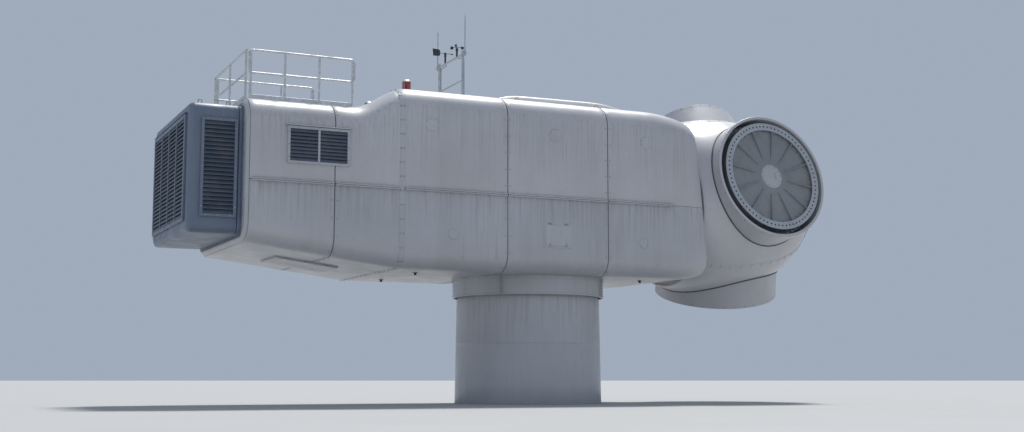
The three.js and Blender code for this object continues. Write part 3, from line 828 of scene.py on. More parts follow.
caps, capbolts = Acc(), Acc()
for side in (1, -1):
    y = side * HALF_W
    for x, z, r in ((-3.25, SEAM_Z + 1.38, 0.15), (-0.35, SEAM_Z + 1.38, 0.15), (1.95, SEAM_Z + 1.38, 0.15), (-2.75, SEAM_Z - 0.90, 0.12), (1.85, SEAM_Z - 0.90, 0.12)):
        m = axes((x, y, z), (0, side, 0), (0, 0, 1))
        revolve(caps, [(0, -0.002), (r, -0.002), (r, 0.006), (r - 0.006, 0.011), (r - 0.035, 0.013), (r - 0.045, 0.010), (0, 0.012)], 48, m)
        for k in range(8):
            t = TAU * (k + 0.5) / 8
            bolt(capbolts, m @ Vector(((r - 0.020) * math.cos(t), (r - 0.020) * math.sin(t), 0.012)), (0, side, 0), 0.007, 0.006)
    # service cover with hinges and two latches, beside the yaw ring
    m = axes((-0.30, y, SEAM_Z - 0.82), (0, side, 0), (0, 0, 1))
    cbox(caps, (-0.34, -0.27, -0.002), (0.34, 0.27, 0.010), 0.004, m)
    cbox(caps, (-0.30, -0.23, 0.0095), (0.30, 0.23, 0.022), 0.007, m)
    for x in (-0.2, 0.2):
        tube(capbolts, [(x - 0.045, 0.245, 0.020), (x + 0.045, 0.245, 0.020)], 0.010, 12, m=m)
        cbox(capbolts, (x - 0.018, -0.245, 0.012), (x + 0.018, -0.175, 0.030), 0.003, m)
make("flank_covers", caps, "nacelle", "hatch", angle=40)
make("flank_cover_fixings", capbolts, "nacelle", "bolt")

# ------------------------------------------------------------------ roof fairing
FAIR = [(-1.50, 1.15, 0.060), (-1.28, 1.185, 0.135), (-0.90, 1.235, 0.228), (-0.3, 1.25, 0.250), (0.5, 1.25, 0.259), (1.3, 1.25, 0.256),
        (1.75, 1.205, 0.190), (2.10, 1.14, 0.105), (2.28, 1.10, 0.060)]


def catmull(pts, n):
    """Smooth run through points of any size."""
    out = []
    m = len(pts)
    for i in range(m - 1):
        p0 = pts[i - 1] if i else tuple(2 * a - b for a, b in zip(pts[0], pts[1]))
        p1, p2 = pts[i], pts[i + 1]
        p3 = pts[i + 2] if i + 2 < m else tuple(2 * a - b for a, b in zip(pts[-1], pts[-2]))
        for k in range(n):
            t = k / n
            out.append(tuple(0.5 * (2 * b + (c - a) * t + (2 * a - 5 * b + 4 * c - d) * t * t + (3 * b - a - 3 * c + d) * t ** 3)
                             for a, b, c, d in zip(p0, p1, p2, p3)))
    out.append(tuple(pts[-1]))
    return out


def faired(w, h, n=8):
    z = ROOF_Z + 0.001
    return fillet([(-w, z, 0), (w, z, 0), (w - h * 0.7, z + h, h * 0.5), (-w + h * 0.7, z + h, h * 0.5)], n)


acc = Acc()
loft(acc, [(x, faired(w, h)) for x, w, h in catmull(FAIR, 4)])
make("roof_fairing_cover", acc, "nacelle", "fairing", ("roof_fairing",), bevel=0.008, at=50)
acc, b2 = Acc(), Acc()
rim = [(x, w) for x, w, h in catmull(FAIR, 2)]
outline = [(w, x) for x, w in rim] + [(-w, x) for x, w in reversed(rim)]
rings = ((ROOF_Z - 0.02, -0.075), (ROOF_Z + 0.009, -0.075), (ROOF_Z + 0.012, -0.070), (ROOF_Z + 0.012, 0.05), (ROOF_Z - 0.02, 0.05))
verts, faces, n = [], [], len(outline)
for z, d in rings:
    verts += [(b, a, z) for a, b in offset(outline, d)]
for j in range(len(rings)):
    j1 = (j + 1) % len(rings)
    for k in range(n):
        k1 = (k + 1) % n
        faces.append((j * n + k1, j * n + k, j1 * n + k, j1 * n + k1))
acc.add(verts, faces)
make("roof_fairing_flange", acc, "nacelle", "fairing")
for p, _n in spaced(offset(outline, -0.045), 0.30):
    bolt(b2, (p.y, p.x, ROOF_Z + 0.012), (0, 0, 1), 0.011, 0.010)
make("roof_fairing_bolts", b2, "nacelle", "bolt")

# ------------------------------------------------------------------ rear wall and cooler module
acc = Acc()
frame_out = lambda i, n=12: fillet([(-HALF_W + i, REAR_FLOOR_Z + i, 0.40), (HALF_W - i, REAR_FLOOR_Z + i, 0.40), (HALF_W - i, REAR_ROOF_Z - i, 0.50), (-HALF_W + i, REAR_ROOF_Z - i, 0.50)], n)
loft(acc, [(REAR_X - 0.070, frame_out(0.080)), (REAR_X - 0.064, frame_out(0.066)), (REAR_X - 0.020, frame_out(0.036)), (REAR_X - 0.001, frame_out(0.020))])
make("rear_wall_frame", acc, "nacelle", "panel", ("rear_wall",), bevel=0.004, at=60)
acc = Acc()
for p, _n in spaced(frame_out(0.135), 0.30):
    if abs(p.x) < 1.935 and COOL_Z0 - 0.075 < p.y < COOL_Z1 + 0.075:
        continue
    bolt(acc, (REAR_X - 0.070, p.x, p.y), (-1, 0, 0), 0.013, 0.013)
make("rear_wall_bolts", acc, "nacelle", "bolt")


def cool(d, r=0.18, n=12):
    return fillet([(-COOL_HW + d, COOL_Z0 + d, r), (COOL_HW - d, COOL_Z0 + d, r), (COOL_HW - d, COOL_Z1 - d, r), (-COOL_HW + d, COOL_Z1 - d, r)], n)


acc = Acc()
st = []
for k in range(9):
    t = k / 8 * math.pi / 2
    st.append((COOL_X0 + 0.060 + 0.12 * (1 - math.cos(t)) if k else COOL_X0 + 0.060, cool(0.110 * (1 - math.sin(t)))))
CUT = COOL_X1 - 0.085
loft(acc, st + [(CUT - GAP, cool(0))])
loft(acc, [(CUT + GAP, cool(0)), (COOL_X1, cool(0))])
make("cooler_casing", acc, "nacelle", "cooler", ("cooler_block",), bevel=0.007, at=45)
acc, bt = Acc(), Acc()
ring_o, ring_i = cool(-0.055, 0.2), cool(0.01, 0.18)
n = len(ring_o)
verts = [(x, y, z) for x, ring in ((COOL_X1 - 0.014, ring_i), (COOL_X1 - 0.014, ring_o), (COOL_X1 - 0.001, ring_o), (COOL_X1 - 0.001, ring_i)) for y, z in ring]
acc.add(verts, [(j * n + k, j * n + (k + 1) % n, (j + 1) % 4 * n + (k + 1) % n, (j + 1) % 4 * n + k) for j in range(4) for k in range(n)])
for p, _n in spaced(cool(-0.03, 0.19), 0.26):
    bolt(bt, (COOL_X1 - 0.014, p.x, p.y), (-1, 0, 0), 0.012, 0.011)
cbox(acc, (COOL_X0 + 0.006, -COOL_HW + 0.20, COOL_Z1 - 0.215), (COOL_X0 + 0.066, COOL_HW - 0.20, COOL_Z1 - 0.205), 0.003)
for sy in (-1, 1):
    for x in (COOL_X0 + 0.32, COOL_X1 - 0.24):
        y = sy * (COOL_HW - 0.32)
        cbox(acc, (x - 0.06, y - 0.06, COOL_Z1 - 0.004), (x + 0.06, y + 0.06, COOL_Z1 + 0.014), 0.004)
        tube(bt, [(x + 0.040 * math.cos(TAU * k / 20), y, COOL_Z1 + 0.062 + 0.040 * math.sin(TAU * k / 20)) for k in range(20)], 0.011, 10, closed=True)
        tube(bt, [(x, y, COOL_Z1 + 0.010), (x, y, COOL_Z1 + 0.026)], 0.016, 12)
make("cooler_base_flange", acc, "nacelle", "cooler", angle=40)
make("cooler_fixings", bt, "nacelle", "bolt")


def louvre_panel(m, w, h, slats, deep, name, replaces, frame_w=0.075, mullions=1, mat="slat"):
    """Louvres: frame, tilted slats with turned edges, mullions, and behind them a near-black sheet that is painted
    shade for the dark space behind the slats (on the cooler it also stands for the radiator core).
    """
    fr, sl, co_ = Acc(), Acc(), Acc()
    for lo, hi in (((-w / 2, -h / 2, 0), (w / 2, -h / 2 + frame_w, deep)), ((-w / 2, h / 2 - frame_w, 0), (w / 2, h / 2, deep)),
                   ((-w / 2, -h / 2 + frame_w, 0), (-w / 2 + frame_w, h / 2 - frame_w, deep)), ((w / 2 - frame_w, -h / 2 + frame_w, 0), (w / 2, h / 2 - frame_w, deep))):
        cbox(fr, lo, hi, 0.006, m)
    iw, ih = w - 2 * frame_w, h - 2 * frame_w
    for k in range(mullions):
        x = -iw / 2 + iw * (k + 1) / (mullions + 1)
        cbox(fr, (x - 0.022, -h / 2 + frame_w, 0.0), (x + 0.022, h / 2 - frame_w, deep * 0.97), 0.004, m)
    pitch = ih / slats
    d = deep * 0.92
    edges = [-iw / 2] + [-iw / 2 + iw * (k + 1) / (mullions + 1) for k in range(mullions)] + [iw / 2]
    for xa, xb in zip(edges, edges[1:]):
        xa += 0.0225 if xa != edges[0] else 0
        xb -= 0.0225 if xb != edges[-1] else 0
        for k in range(slats):
            y = -ih / 2 + pitch * (k + 0.04)
            # thin plate falling outwards, with a short drip lip
            prof = [(0.004, y + pitch * 0.86), (0.010, y + pitch * 0.93), (d - 0.003, y + pitch * 0.22), (d, y + pitch * 0.20),
                    (d, y + pitch * 0.05), (d - 0.004, y + pitch * 0.05), (d - 0.006, y + pitch * 0.17)]
            v = [(xx, yy, zz) for xx in (xa, xb) for zz, yy in prof]
            n = len(prof)
            f = [tuple(range(n)), tuple(reversed(range(n, 2 * n)))]
            f += [(j, n + j, n + (j + 1) % n, (j + 1) % n) for j in range(n)]
            sl.add(v, f, m)
    # near-black sheet behind the slats: painted shade for the dark space behind them
    cbox(co_, (-iw / 2, -ih / 2, -0.0005), (iw / 2, ih / 2, 0.003), 0.0005, m)
    make(name + "_frame", fr, "nacelle", "cooler" if mat == "slat" else mat)
    make(name + "_slats", sl, "nacelle", "slat", replaces)
    make(name + "_core", co_, "nacelle", "core")
    bt = Acc()
    nn = m.to_3x3() @ Vector((0, 0, 1))
    for sx in (-1, 1):
        count = max(3, int(h / 0.36))
        for k in range(count):
            bolt(bt, m @ Vector((sx * (w / 2 - frame_w / 2), -h / 2 + h * (k + 0.5) / count, deep)), nn, 0.010, 0.009)
    for sy in (-1, 1):
        count = max(3, int(w / 0.40))
        for k in range(count):
            bolt(bt, m @ Vector((-w / 2 + w * (k + 0.5) / count, sy * (h / 2 - frame_w / 2), deep)), nn, 0.010, 0.009)
    make(name + "_bolts", bt, "nacelle", "bolt")


COOL_H = COOL_Z1 - COOL_Z0
MID_Z = (COOL_Z0 + COOL_Z1) / 2
louvre_panel(axes((COOL_X0 + 0.0595, 0, MID_Z), (-1, 0, 0), (0, 0, 1)), 2 * COOL_HW - 0.46, COOL_H - 0.46, 24, 0.046, "cooler_rear_louvre", ("cooler_grille_rear",), mullions=3)
for side, nm in ((1, "left"), (-1, "right")):
    louvre_panel(axes(((COOL_X0 + COOL_X1) / 2 + 0.09, side * (COOL_HW + 0.001), MID_Z), (0, side, 0), (0, 0, 1)), 0.72, COOL_H - 0.62, 22, 0.052,
                 "cooler_" + nm + "_louvre", ("cooler_grille_" + nm,), frame_w=0.06, mullions=0)
    louvre_panel(axes((-5.7, side * (HALF_W + 0.001), SEAM_Z + 0.74), (0, side, 0), (0, 0, 1)), 1.3, 0.76, 9, 0.045,
                 "side_" + nm + "_louvre", ("side_vent_" + nm,), frame_w=0.055, mat="panel")

hoods = Acc()
for side in (1, -1):
    m = axes((-5.7, side * (HALF_W + 0.001), SEAM_Z + 0.74 + 0.40), (0, side, 0), (0, 0, 1))
    v = [(x, y, z) for x in (-0.70, 0.70) for y, z in ((0.0, -0.002), (0.022, -0.002), (0.018, 0.010), (-0.006, 0.070), (-0.014, 0.070), (-0.006, 0.012))]
    hoods.add(v, [tuple(range(6)), tuple(reversed(range(6, 12)))] + [(j, 6 + j, 6 + (j + 1) % 6, (j + 1) % 6) for j in range(6)], m)
make("side_vent_hoods", hoods, "nacelle", "panel")

# ------------------------------------------------------------------ rotor: spinner
OUTER = [(BACK_A, 1.925), (-1.300, 2.060), (-0.800, 2.135), (-0.200, 2.150), (0.400, 2.085), (0.900, 1.940), (1.400, 1.690), (NOSE_A, 1.245)]
SKIN = catmull(OUTER, 8)


def spin_r(a):
    for (a0, r0), (a1, r1) in zip(SKIN, SKIN[1:]):
        if a0 <= a <= a1:
            return r0 + (r1 - r0) * (a - a0) / (a1 - a0)
    return SKIN[0][1] if a < SKIN[0][0] else SKIN[-1][1]


WALL = 0.050
profile = [(SKIN[0][1] - WALL, BACK_A), (SKIN[0][1] - 0.008, BACK_A), (SKIN[0][1], BACK_A + 0.008)]
profile += [(r, a) for a, r in SKIN[1:-1]]
profile += [(SKIN[-1][1] + 0.004, NOSE_A - 0.008), (SKIN[-1][1] - 0.006, NOSE_A)]
profile += [(r - WALL, a) for a, r in reversed(SKIN[1:])]
acc = revolve(Acc(), profile, 180, Matrix.Identity(4), closed=True)


def raw_object(name, acc):
    me = bpy.data.meshes.new(name)
    me.from_pydata(acc.v, [], acc.f)
    me.update()
    o = bpy.data.objects.new(name, me)
    scene.collection.objects.link(o)
    return o


def cut_with(acc, cutters):
    """Boolean difference of closed meshes; returns a bmesh."""
    base = raw_object("tmp_base", acc)
    made = [base]
    for i, c in enumerate(cutters):
        k = raw_object(f"tmp_cut_{i}", c)
        made.append(k)
        mod = base.modifiers.new(f"cut_{i}", "BOOLEAN")
        mod.operation, mod.object, mod.solver = "DIFFERENCE", k, "EXACT"
    bpy.context.view_layer.update()
    dg = bpy.context.evaluated_depsgraph_get()
    bm = bmesh.new()
    bm.from_mesh(base.evaluated_get(dg).to_mesh())
    for o in made:
        me = o.data
        bpy.data.objects.remove(o)
        bpy.data.meshes.remove(me)
    return bm


LOCAL = SHAFT.inverted()
cutters = [revolve(Acc(), [(0, 0.9), (CUFF_RO + 0.004, 0.9), (CUFF_RO + 0.004, 2.6), (0, 2.6)], 128, LOCAL @ blade_frame(d)) for d in BLADES]
bm = cut_with(acc, cutters)
bm.transform(SHAFT)
from_bm("spinner_cover", bm, "rotor", "spin", ("spinner_shell",), angle=32)

# strips over the spinner's three meridian joints, between the blades
strips, sbolts = Acc(), Acc()
for d in [b + 60 for b in BLADES]:
    rot = TO_HUB @ Matrix.Rotation(math.radians(d), 4, "X")
    rows = []
    line = [(a, r) for a, r in SKIN if BACK_A + 0.03 <= a <= NOSE_A - 0.03]
    for i, (a, r) in enumerate(line):
        a0, r0 = line[max(i - 1, 0)]
        a1, r1 = line[min(i + 1, len(line) - 1)]
        t = Vector((a1 - a0, r1 - r0)).normalized()
        nrm = Vector((-t.y, t.x))
        row = []
        for w, hgt in ((-0.055, -0.012), (-0.055, 0.005), (-0.050, 0.008), (0.050, 0.008), (0.055, 0.005), (0.055, -0.012)):
            rr = math.sqrt(max(0.0, (r + nrm.y * hgt) ** 2 - w * w))
            row.append(Vector((a + nrm.x * hgt, w, -rr)))
        rows.append((row, nrm, a, r))
    verts = [p for row, *_ in rows for p in row]
    n = 6
    faces = []
    for i in range(len(rows) - 1):
        for k in range(n):
            k1 = (k + 1) % n
            faces.append((i * n + k, i * n + k1, i * n + n + k1, i * n + n + k))
    faces += [tuple(reversed(range(n))), tuple((len(rows) - 1) * n + k for k in range(n))]
    strips.add(verts, faces, rot)
    step, dist = 0.24, 0.12
    for (r0_, n0, a0, q0), (r1_, n1, a1, q1) in zip(rows, rows[1:]):
        ln = math.hypot(a1 - a0, q1 - q0)
        dist += ln
        if dist >= step:
            dist = 0.0
            for w in (-0.030, 0.030):
                p = rot @ Vector((a0 + n0.x * 0.008, w, -math.sqrt((q0 + n0.y * 0.008) ** 2 - w * w)))
                nn = rot.to_3x3() @ Vector((n0.x, 0, -n0.y))
                bolt(sbolts, p, nn, 0.011, 0.009)
make("spinner_joint_strips", strips, "rotor", "spin")

NOSE = catmull([(1.904, 1.241), (2.150, 1.010), (2.350, 0.640), (2.450, 0.300), (TIP_A, 0.0)], 8)
prof = [(0, 1.904), (1.225, 1.904), (1.236, 1.908)] + [(max(r, 0.0), a) for a, r in NOSE[1:-1]] + [(0, TIP_A)]
make("spinner_nose_cap", revolve(Acc(), prof, 144, SHAFT), "rotor", "spin", ("spinner_nose",), angle=40)
for k in range(36):
    t = TAU * k / 36
    for a, rr in ((NOSE_A - 0.05, spin_r(NOSE_A - 0.05)), (1.965, 1.196)):
        p = SHAFT @ Vector((rr * math.cos(t), rr * math.sin(t), a))
        nn = SHAFT.to_3x3() @ Vector((math.cos(t) * 0.72, math.sin(t) * 0.72, 0.69))
        bolt(sbolts, p, nn, 0.011, 0.009)
make("spinner_bolts", sbolts, "rotor", "bolt")
acc = revolve(Acc(), [(1.205, 1.888), (1.243, 1.888), (1.243, 1.908), (1.205, 1.908)], 144, SHAFT, closed=True)
make("nose_joint_sealant", acc, "rotor", "seal")

# cuffs round the blade roots
cuff_bolts, beads = Acc(), Acc()
for i, d in enumerate(BLADES, 1):
    m = blade_frame(d)
    prof = [(CUFF_RI, CUFF_H0), (CUFF_RO, CUFF_H0), (CUFF_RO, CUFF_H1 - 0.085), (CUFF_RO + 0.002, CUFF_H1 - 0.082), (CUFF_RO + 0.002, CUFF_H1 - 0.006), (CUFF_RO - 0.004, CUFF_H1),
            (CUFF_RI + 0.004, CUFF_H1), (CUFF_RI, CUFF_H1 - 0.004)]
    make(f"root_cuff_cover_{i}", revolve(Acc(), prof, 128, m, closed=True), "rotor", "cuff", (f"root_cuff_{i}",), angle=30)
    # sealing bead where the cuff leaves the spinner
    path = []
    inv = TO_HUB.inverted() @ m
    for k in range(120):
        t = TAU * k / 120
        lo, hi = 0.8, 2.4
        for _ in range(40):
            h = (lo + hi) / 2
            q = inv @ Vector((CUFF_RO * math.cos(t), CUFF_RO * math.sin(t), h))
            if math.hypot(q.y, q.z) > spin_r(q.x):
                hi = h
            else:
                lo = h
        path.append(m @ Vector(((CUFF_RO + 0.006) * math.cos(t), (CUFF_RO + 0.006) * math.sin(t), h + 0.004)))
    tube(beads, path, 0.018, 10, closed=True)
    for k in range(36):
        t = TAU * (k + 0.5) / 36
        p = m @ Vector(((CUFF_RO + 0.002) * math.cos(t), (CUFF_RO + 0.002) * math.sin(t), CUFF_H1 - 0.044))
        bolt(cuff_bolts, p, m.to_3x3() @ Vector((math.cos(t), math.sin(t), 0)), 0.011, 0.009)
make("cuff_bolts", cuff_bolts, "rotor", "bolt")
make("cuff_sealing_beads", beads, "rotor", "seal")

# pitch bearings' outer rings and their bolts
for i, d in enumerate(BLADES, 1):
    m = blade_frame(d)
    acc = revolve(Acc(), [(1.215, 1.700), (1.405, 1.700), (1.405, 1.932), (1.397, 1.940), (1.345, 1.940), (1.338, 1.930), (1.222, 1.930), (1.215, 1.924)], 120, m, closed=True)
    make(f"pitch_bearing_outer_{i}", acc, "rotor", "cast", (f"blade_bearing_{i}",))
    acc = Acc()
    for k in range(60):
        t = TAU * k / 60
        bolt(acc, m @ Vector((1.372 * math.cos(t), 1.372 * math.sin(t), 1.940)), m.to_3x3() @ Vector((0, 0, 1)), 0.022, 0.030)
    make(f"pitch_bearing_bolts_{i}", acc, "rotor", "bolt")

# blade-root flanges: drilled inner ring, stiffening plate with ribs, manhole cover
for i, d in enumerate(BLADES, 1):
    m = blade_frame(d)
    body = f"blade_root_{i}"
    acc = holed_ring(Acc(), ROOT_RO, ROOT_RI, 1.240, 0.021, 72, 2.050, ROOT_H1, m)
    revolve(acc, [(0, ROOT_H0), (ROOT_RO - 0.02, ROOT_H0), (ROOT_RO - 0.012, ROOT_H0 + 0.008), (ROOT_RO - 0.012, 2.0495), (0, 2.0495)], 144, m)
    make(f"root_ring_{i}", acc, body, "machined", (f"root_flange_{i}",))
    acc = Acc()
    revolve(acc, [(0, 2.052), (ROOT_RI - 0.0005, 2.052), (ROOT_RI - 0.0005, 2.176), (0.36, 2.180), (0.345, 2.190), (0, 2.190)], 120, m)
    for k in range(12):
        t = TAU * (k + 0.5) / 12
        rot = m @ Matrix.Rotation(t, 4, "Z")
        verts = []
        for y in (-0.011, 0.011):
            verts += [(0.40, y, 2.170), (1.148, y, 2.170), (1.148, y, 2.236), (1.06, y, 2.236), (0.46, y, 2.196)]
        faces = [(4, 3, 2, 1, 0), (5, 6, 7, 8, 9)] + [(j, (j + 1) % 5, 5 + (j + 1) % 5, 5 + j) for j in range(5)]
        acc.add(verts, [tuple(f) for f in faces], rot)
    make(f"stiffening_plate_{i}", acc, body, "cast")
    acc = Acc()
    revolve(acc, [(0, 2.1905), (0.290, 2.1905), (0.290, 2.200), (0.282, 2.204), (0, 2.204)], 48, m)
    tube(acc, round_path([m @ Vector((-0.07, 0.10, 2.203)), m @ Vector((-0.07, 0.10, 2.232)), m @ Vector((0.07, 0.10, 2.232)), m @ Vector((0.07, 0.10, 2.203))], 0.012), 0.007, 10)
    make(f"manhole_cover_{i}", acc, body, "hatch")
    acc = Acc()
    up = m.to_3x3() @ Vector((0, 0, 1))
    for k in range(12):
        t = TAU * k / 12
        bolt(acc, m @ Vector((0.255 * math.cos(t), 0.255 * math.sin(t), 2.204)), up, 0.010, 0.010)
    for k in range(48):
        t = TAU * (k + 0.5) / 48
        if abs(((t - TAU / 24) % (TAU / 12)) - 0) < 0.02:
            continue
        bolt(acc, m @ Vector((1.105 * math.cos(t), 1.105 * math.sin(t), 2.176)), up, 0.015, 0.018)
    make(f"root_plate_bolts_{i}", acc, body, "bolt")

# back plate and shaft seal
acc = revolve(Acc(), [(1.160, BACK_A + 0.008), (1.860, BACK_A + 0.008), (1.866, BACK_A + 0.014), (1.866, BACK_A + 0.034), (1.160, BACK_A + 0.034)], 120, SHAFT, closed=True)
make("spinner_back_plate", acc, "rotor", "panel", ("spinner_backplate",))
acc = Acc()
for k in range(40):
    t = TAU * k / 40
    bolt(acc, SHAFT @ Vector((1.81 * math.cos(t), 1.81 * math.sin(t), BACK_A + 0.008)), SHAFT.to_3x3() @ Vector((0, 0, -1)), 0.012, 0.010)
make("back_plate_bolts", acc, "rotor", "bolt")
acc = revolve(Acc(), [(1.010, FACE_A + 0.037), (1.150, FACE_A + 0.037), (1.150, FACE_A + 0.052), (1.112, FACE_A + 0.056), (1.108, BACK_A + 0.050), (1.098, BACK_A + 0.060), (1.020, BACK_A + 0.060), (1.010, BACK_A + 0.050)], 96, SHAFT, closed=True)
make("shaft_collar_ring", acc, "nacelle", "cast", ("shaft_collar",))
acc = revolve(Acc(), [(0, FACE_A + 0.001), (1.632, FACE_A + 0.001), (1.640, FACE_A + 0.009), (1.640, FACE_A + 0.030), (1.632, FACE_A + 0.036), (0, FACE_A + 0.036)], 120, SHAFT)
make("front_bulkhead_plate", acc, "nacelle", "panel", ("front_bulkhead",))
acc = Acc()
for k in range(48):
    t = TAU * k / 48
    bolt(acc, SHAFT @ Vector((1.58 * math.cos(t), 1.58 * math.sin(t), FACE_A + 0.036)), SHAFT.to_3x3() @ Vector((0, 0, 1)), 0.013, 0.011)
make("front_bulkhead_bolts", acc, "nacelle", "bolt")

# ------------------------------------------------------------------ tower top
taper = lambda z: CAN_R0 + (CAN_R1 - CAN_R0) * z / CAN_H
prof = [(taper(0) - CAN_WALL, 0.0), (taper(0) - 0.003, 0.0), (taper(0), 0.003)]
for z in (0.45, 0.9, 1.3):
    prof.append((taper(z), z))
prof += [(taper(1.35) + 0.0005, 1.337), (taper(1.35) + 0.0035, 1.343), (taper(1.35) + 0.0035, 1.357), (taper(1.35) + 0.0005, 1.363)]
for z in (1.8, 2.2, CAN_H - 0.006):
    prof.append((taper(z), z))
prof += [(taper(CAN_H) - 0.006, CAN_H), (taper(CAN_H) - CAN_WALL, CAN_H)]
make("tower_can_plate", revolve(Acc(), prof, 160, Matrix.Identity(4), closed=True), "tower_top", "tower", ("tower_can",), angle=50)
acc = holed_ring(Acc(), 1.635, 1.440, 1.535, 0.026, 96, 0.0, 0.120, Matrix.Identity(4))
make("lower_flange_ring", acc, "tower_top", "machined", ("lower_flange",))
acc = holed_ring(Acc(), 1.595, 1.420, 1.505, 0.022, 88, 2.400, 2.5195, Matrix.Identity(4))
make("upper_flange_ring", acc, "tower_top", "machined", ("upper_flange",))

# yaw ring with its teeth
TEETH = 120
prof = []
for k in range(TEETH):
    for f, r in ((0.00, 1.548), (0.22, 1.548), (0.38, 1.598), (0.62, 1.598), (0.78, 1.548)):
        a = TAU * (k + f) / TEETH
        prof.append((r * math.cos(a), r * math.sin(a)))
n = len(prof)
verts, faces = [], []
inner = [(1.420 * x / math.hypot(x, y), 1.420 * y / math.hypot(x, y)) for x, y in prof]
for z in (CAN_H + 0.0005, CAN_H + YAW_H):
    verts += [(x, y, z) for x, y in prof] + [(x, y, z) for x, y in inner]
for k in range(n):
    k1 = (k + 1) % n
    o0, o1, i0, i1 = k, k1, n + k, n + k1
    t = 2 * n
    faces += [(o0, o1, o1 + t, o0 + t), (i1, i0, i0 + t, i1 + t), (o0, i0, i1, o1), (o0 + t, o1 + t, i1 + t, i0 + t)]
make("yaw_toothed_ring", Acc().add(verts, faces), "tower_top", "cast", ("yaw_gear_ring",), angle=20)

# skirt, its lip and the bolts that hold it to the underside
prof = [(1.700, FLOOR_Z - 0.420), (1.740, FLOOR_Z - 0.420), (1.744, FLOOR_Z - 0.416), (1.744, FLOOR_Z - 0.382), (1.736, FLOOR_Z - 0.374), (1.740, FLOOR_Z - 0.084),
        (1.748, FLOOR_Z - 0.078), (1.748, FLOOR_Z - 0.004), (1.745, FLOOR_Z - 0.001), (1.706, FLOOR_Z - 0.001)]
make("yaw_skirt_cover", revolve(Acc(), prof, 144, Matrix.Identity(4), closed=True), "nacelle", "lower", ("yaw_skirt",), angle=30)
prof = [(1.656, FLOOR_Z - 0.408), (1.660, FLOOR_Z - 0.416), (1.702, FLOOR_Z - 0.392), (1.702, FLOOR_Z - 0.380)]
make("yaw_skirt_seal_lip", revolve(Acc(), prof, 144, Matrix.Identity(4), closed=True), "nacelle", "rubber", angle=30)
acc, bt = Acc(), Acc()
for deg in (45, 135, 225, 315):
    rot = Matrix.Rotation(math.radians(deg), 4, "Z")
    for sy in (-1, 1):
        y0, y1 = sorted((sy * 0.003, sy * 0.015))
        cbox(acc, (1.730, y0, FLOOR_Z - 0.415), (1.800, y1, FLOOR_Z - 0.012), 0.004, rot)
    for k in range(5):
        z = FLOOR_Z - 0.37 + k * 0.078
        for sy in (-1, 1):
            bolt(bt, rot @ Vector((1.776, sy * 0.015, z)), rot.to_3x3() @ Vector((0, sy, 0)), 0.010, 0.009)
make("yaw_skirt_joints", acc, "nacelle", "lower")
for k in range(60):
    t = TAU * (k + 0.5) / 60
    bolt(bt, (1.748 * math.cos(t), 1.748 * math.sin(t), FLOOR_Z - 0.042), (math.cos(t), math.sin(t), 0), 0.011, 0.010)
make("yaw_skirt_bolts", bt, "nacelle", "bolt")

# ------------------------------------------------------------------ roof equipment
RAIL_H = 1.050
posts, feet = Acc(), Acc()
T = 0.0242
RZ = REAR_ROOF_Z


def post(x, y, z, out):
    tube(posts, [(x, y, z + 0.010), (x, y, z + RAIL_H - 0.02)], T, 14)
    cbox(feet, (x - 0.07, y - 0.07, z - 0.004), (x + 0.07, y + 0.07, z + 0.012), 0.003)
    for sx in (-1, 1):
        for sy in (-1, 1):
            bolt(feet, (x + sx * 0.046, y + sy * 0.046, z + 0.012), (0, 0, 1), 0.009, 0.009)


for side, nm in ((1, "left"), (-1, "right")):
    posts, feet = Acc(), Acc()
    y = side * 1.5
    tube(posts, round_path([(-6.985, y, RZ + RAIL_H * 0.55), (-7.000, y, RZ + RAIL_H), (-4.760, y, RZ + RAIL_H), (-4.760, y, RZ + RAIL_H * 0.55), (-6.985, y, RZ + RAIL_H * 0.55)], 0.09, 6), T, 14)
    for x in (-6.960, -6.250, -5.520, -4.800):
        post(x, y, RZ, side)
    cbox(posts, (-6.95, y - 0.004, RZ + 0.02), (-4.81, y + 0.004, RZ + 0.13), 0.002)
    make("roof_rail_tubes_" + nm, posts, "nacelle", "rail", ("roof_rail_" + nm,))
    make("roof_rail_feet_" + nm, feet, "nacelle", "rail")
posts, feet = Acc(), Acc()
for h in (RAIL_H, RAIL_H * 0.55):
    tube(posts, [(-7.040, -1.440, RZ + h), (-7.040, 1.440, RZ + h)], T, 14)
for y in (-1.4, 0.0, 1.4):
    post(-7.040, y, RZ, 0)
cbox(posts, (-7.044, -1.42, RZ + 0.02), (-7.036, 1.42, RZ + 0.13), 0.002)
make("roof_rail_tubes_rear", posts, "nacelle", "rail", ("roof_rail_rear",))
make("roof_rail_feet_rear", feet, "nacelle", "rail")

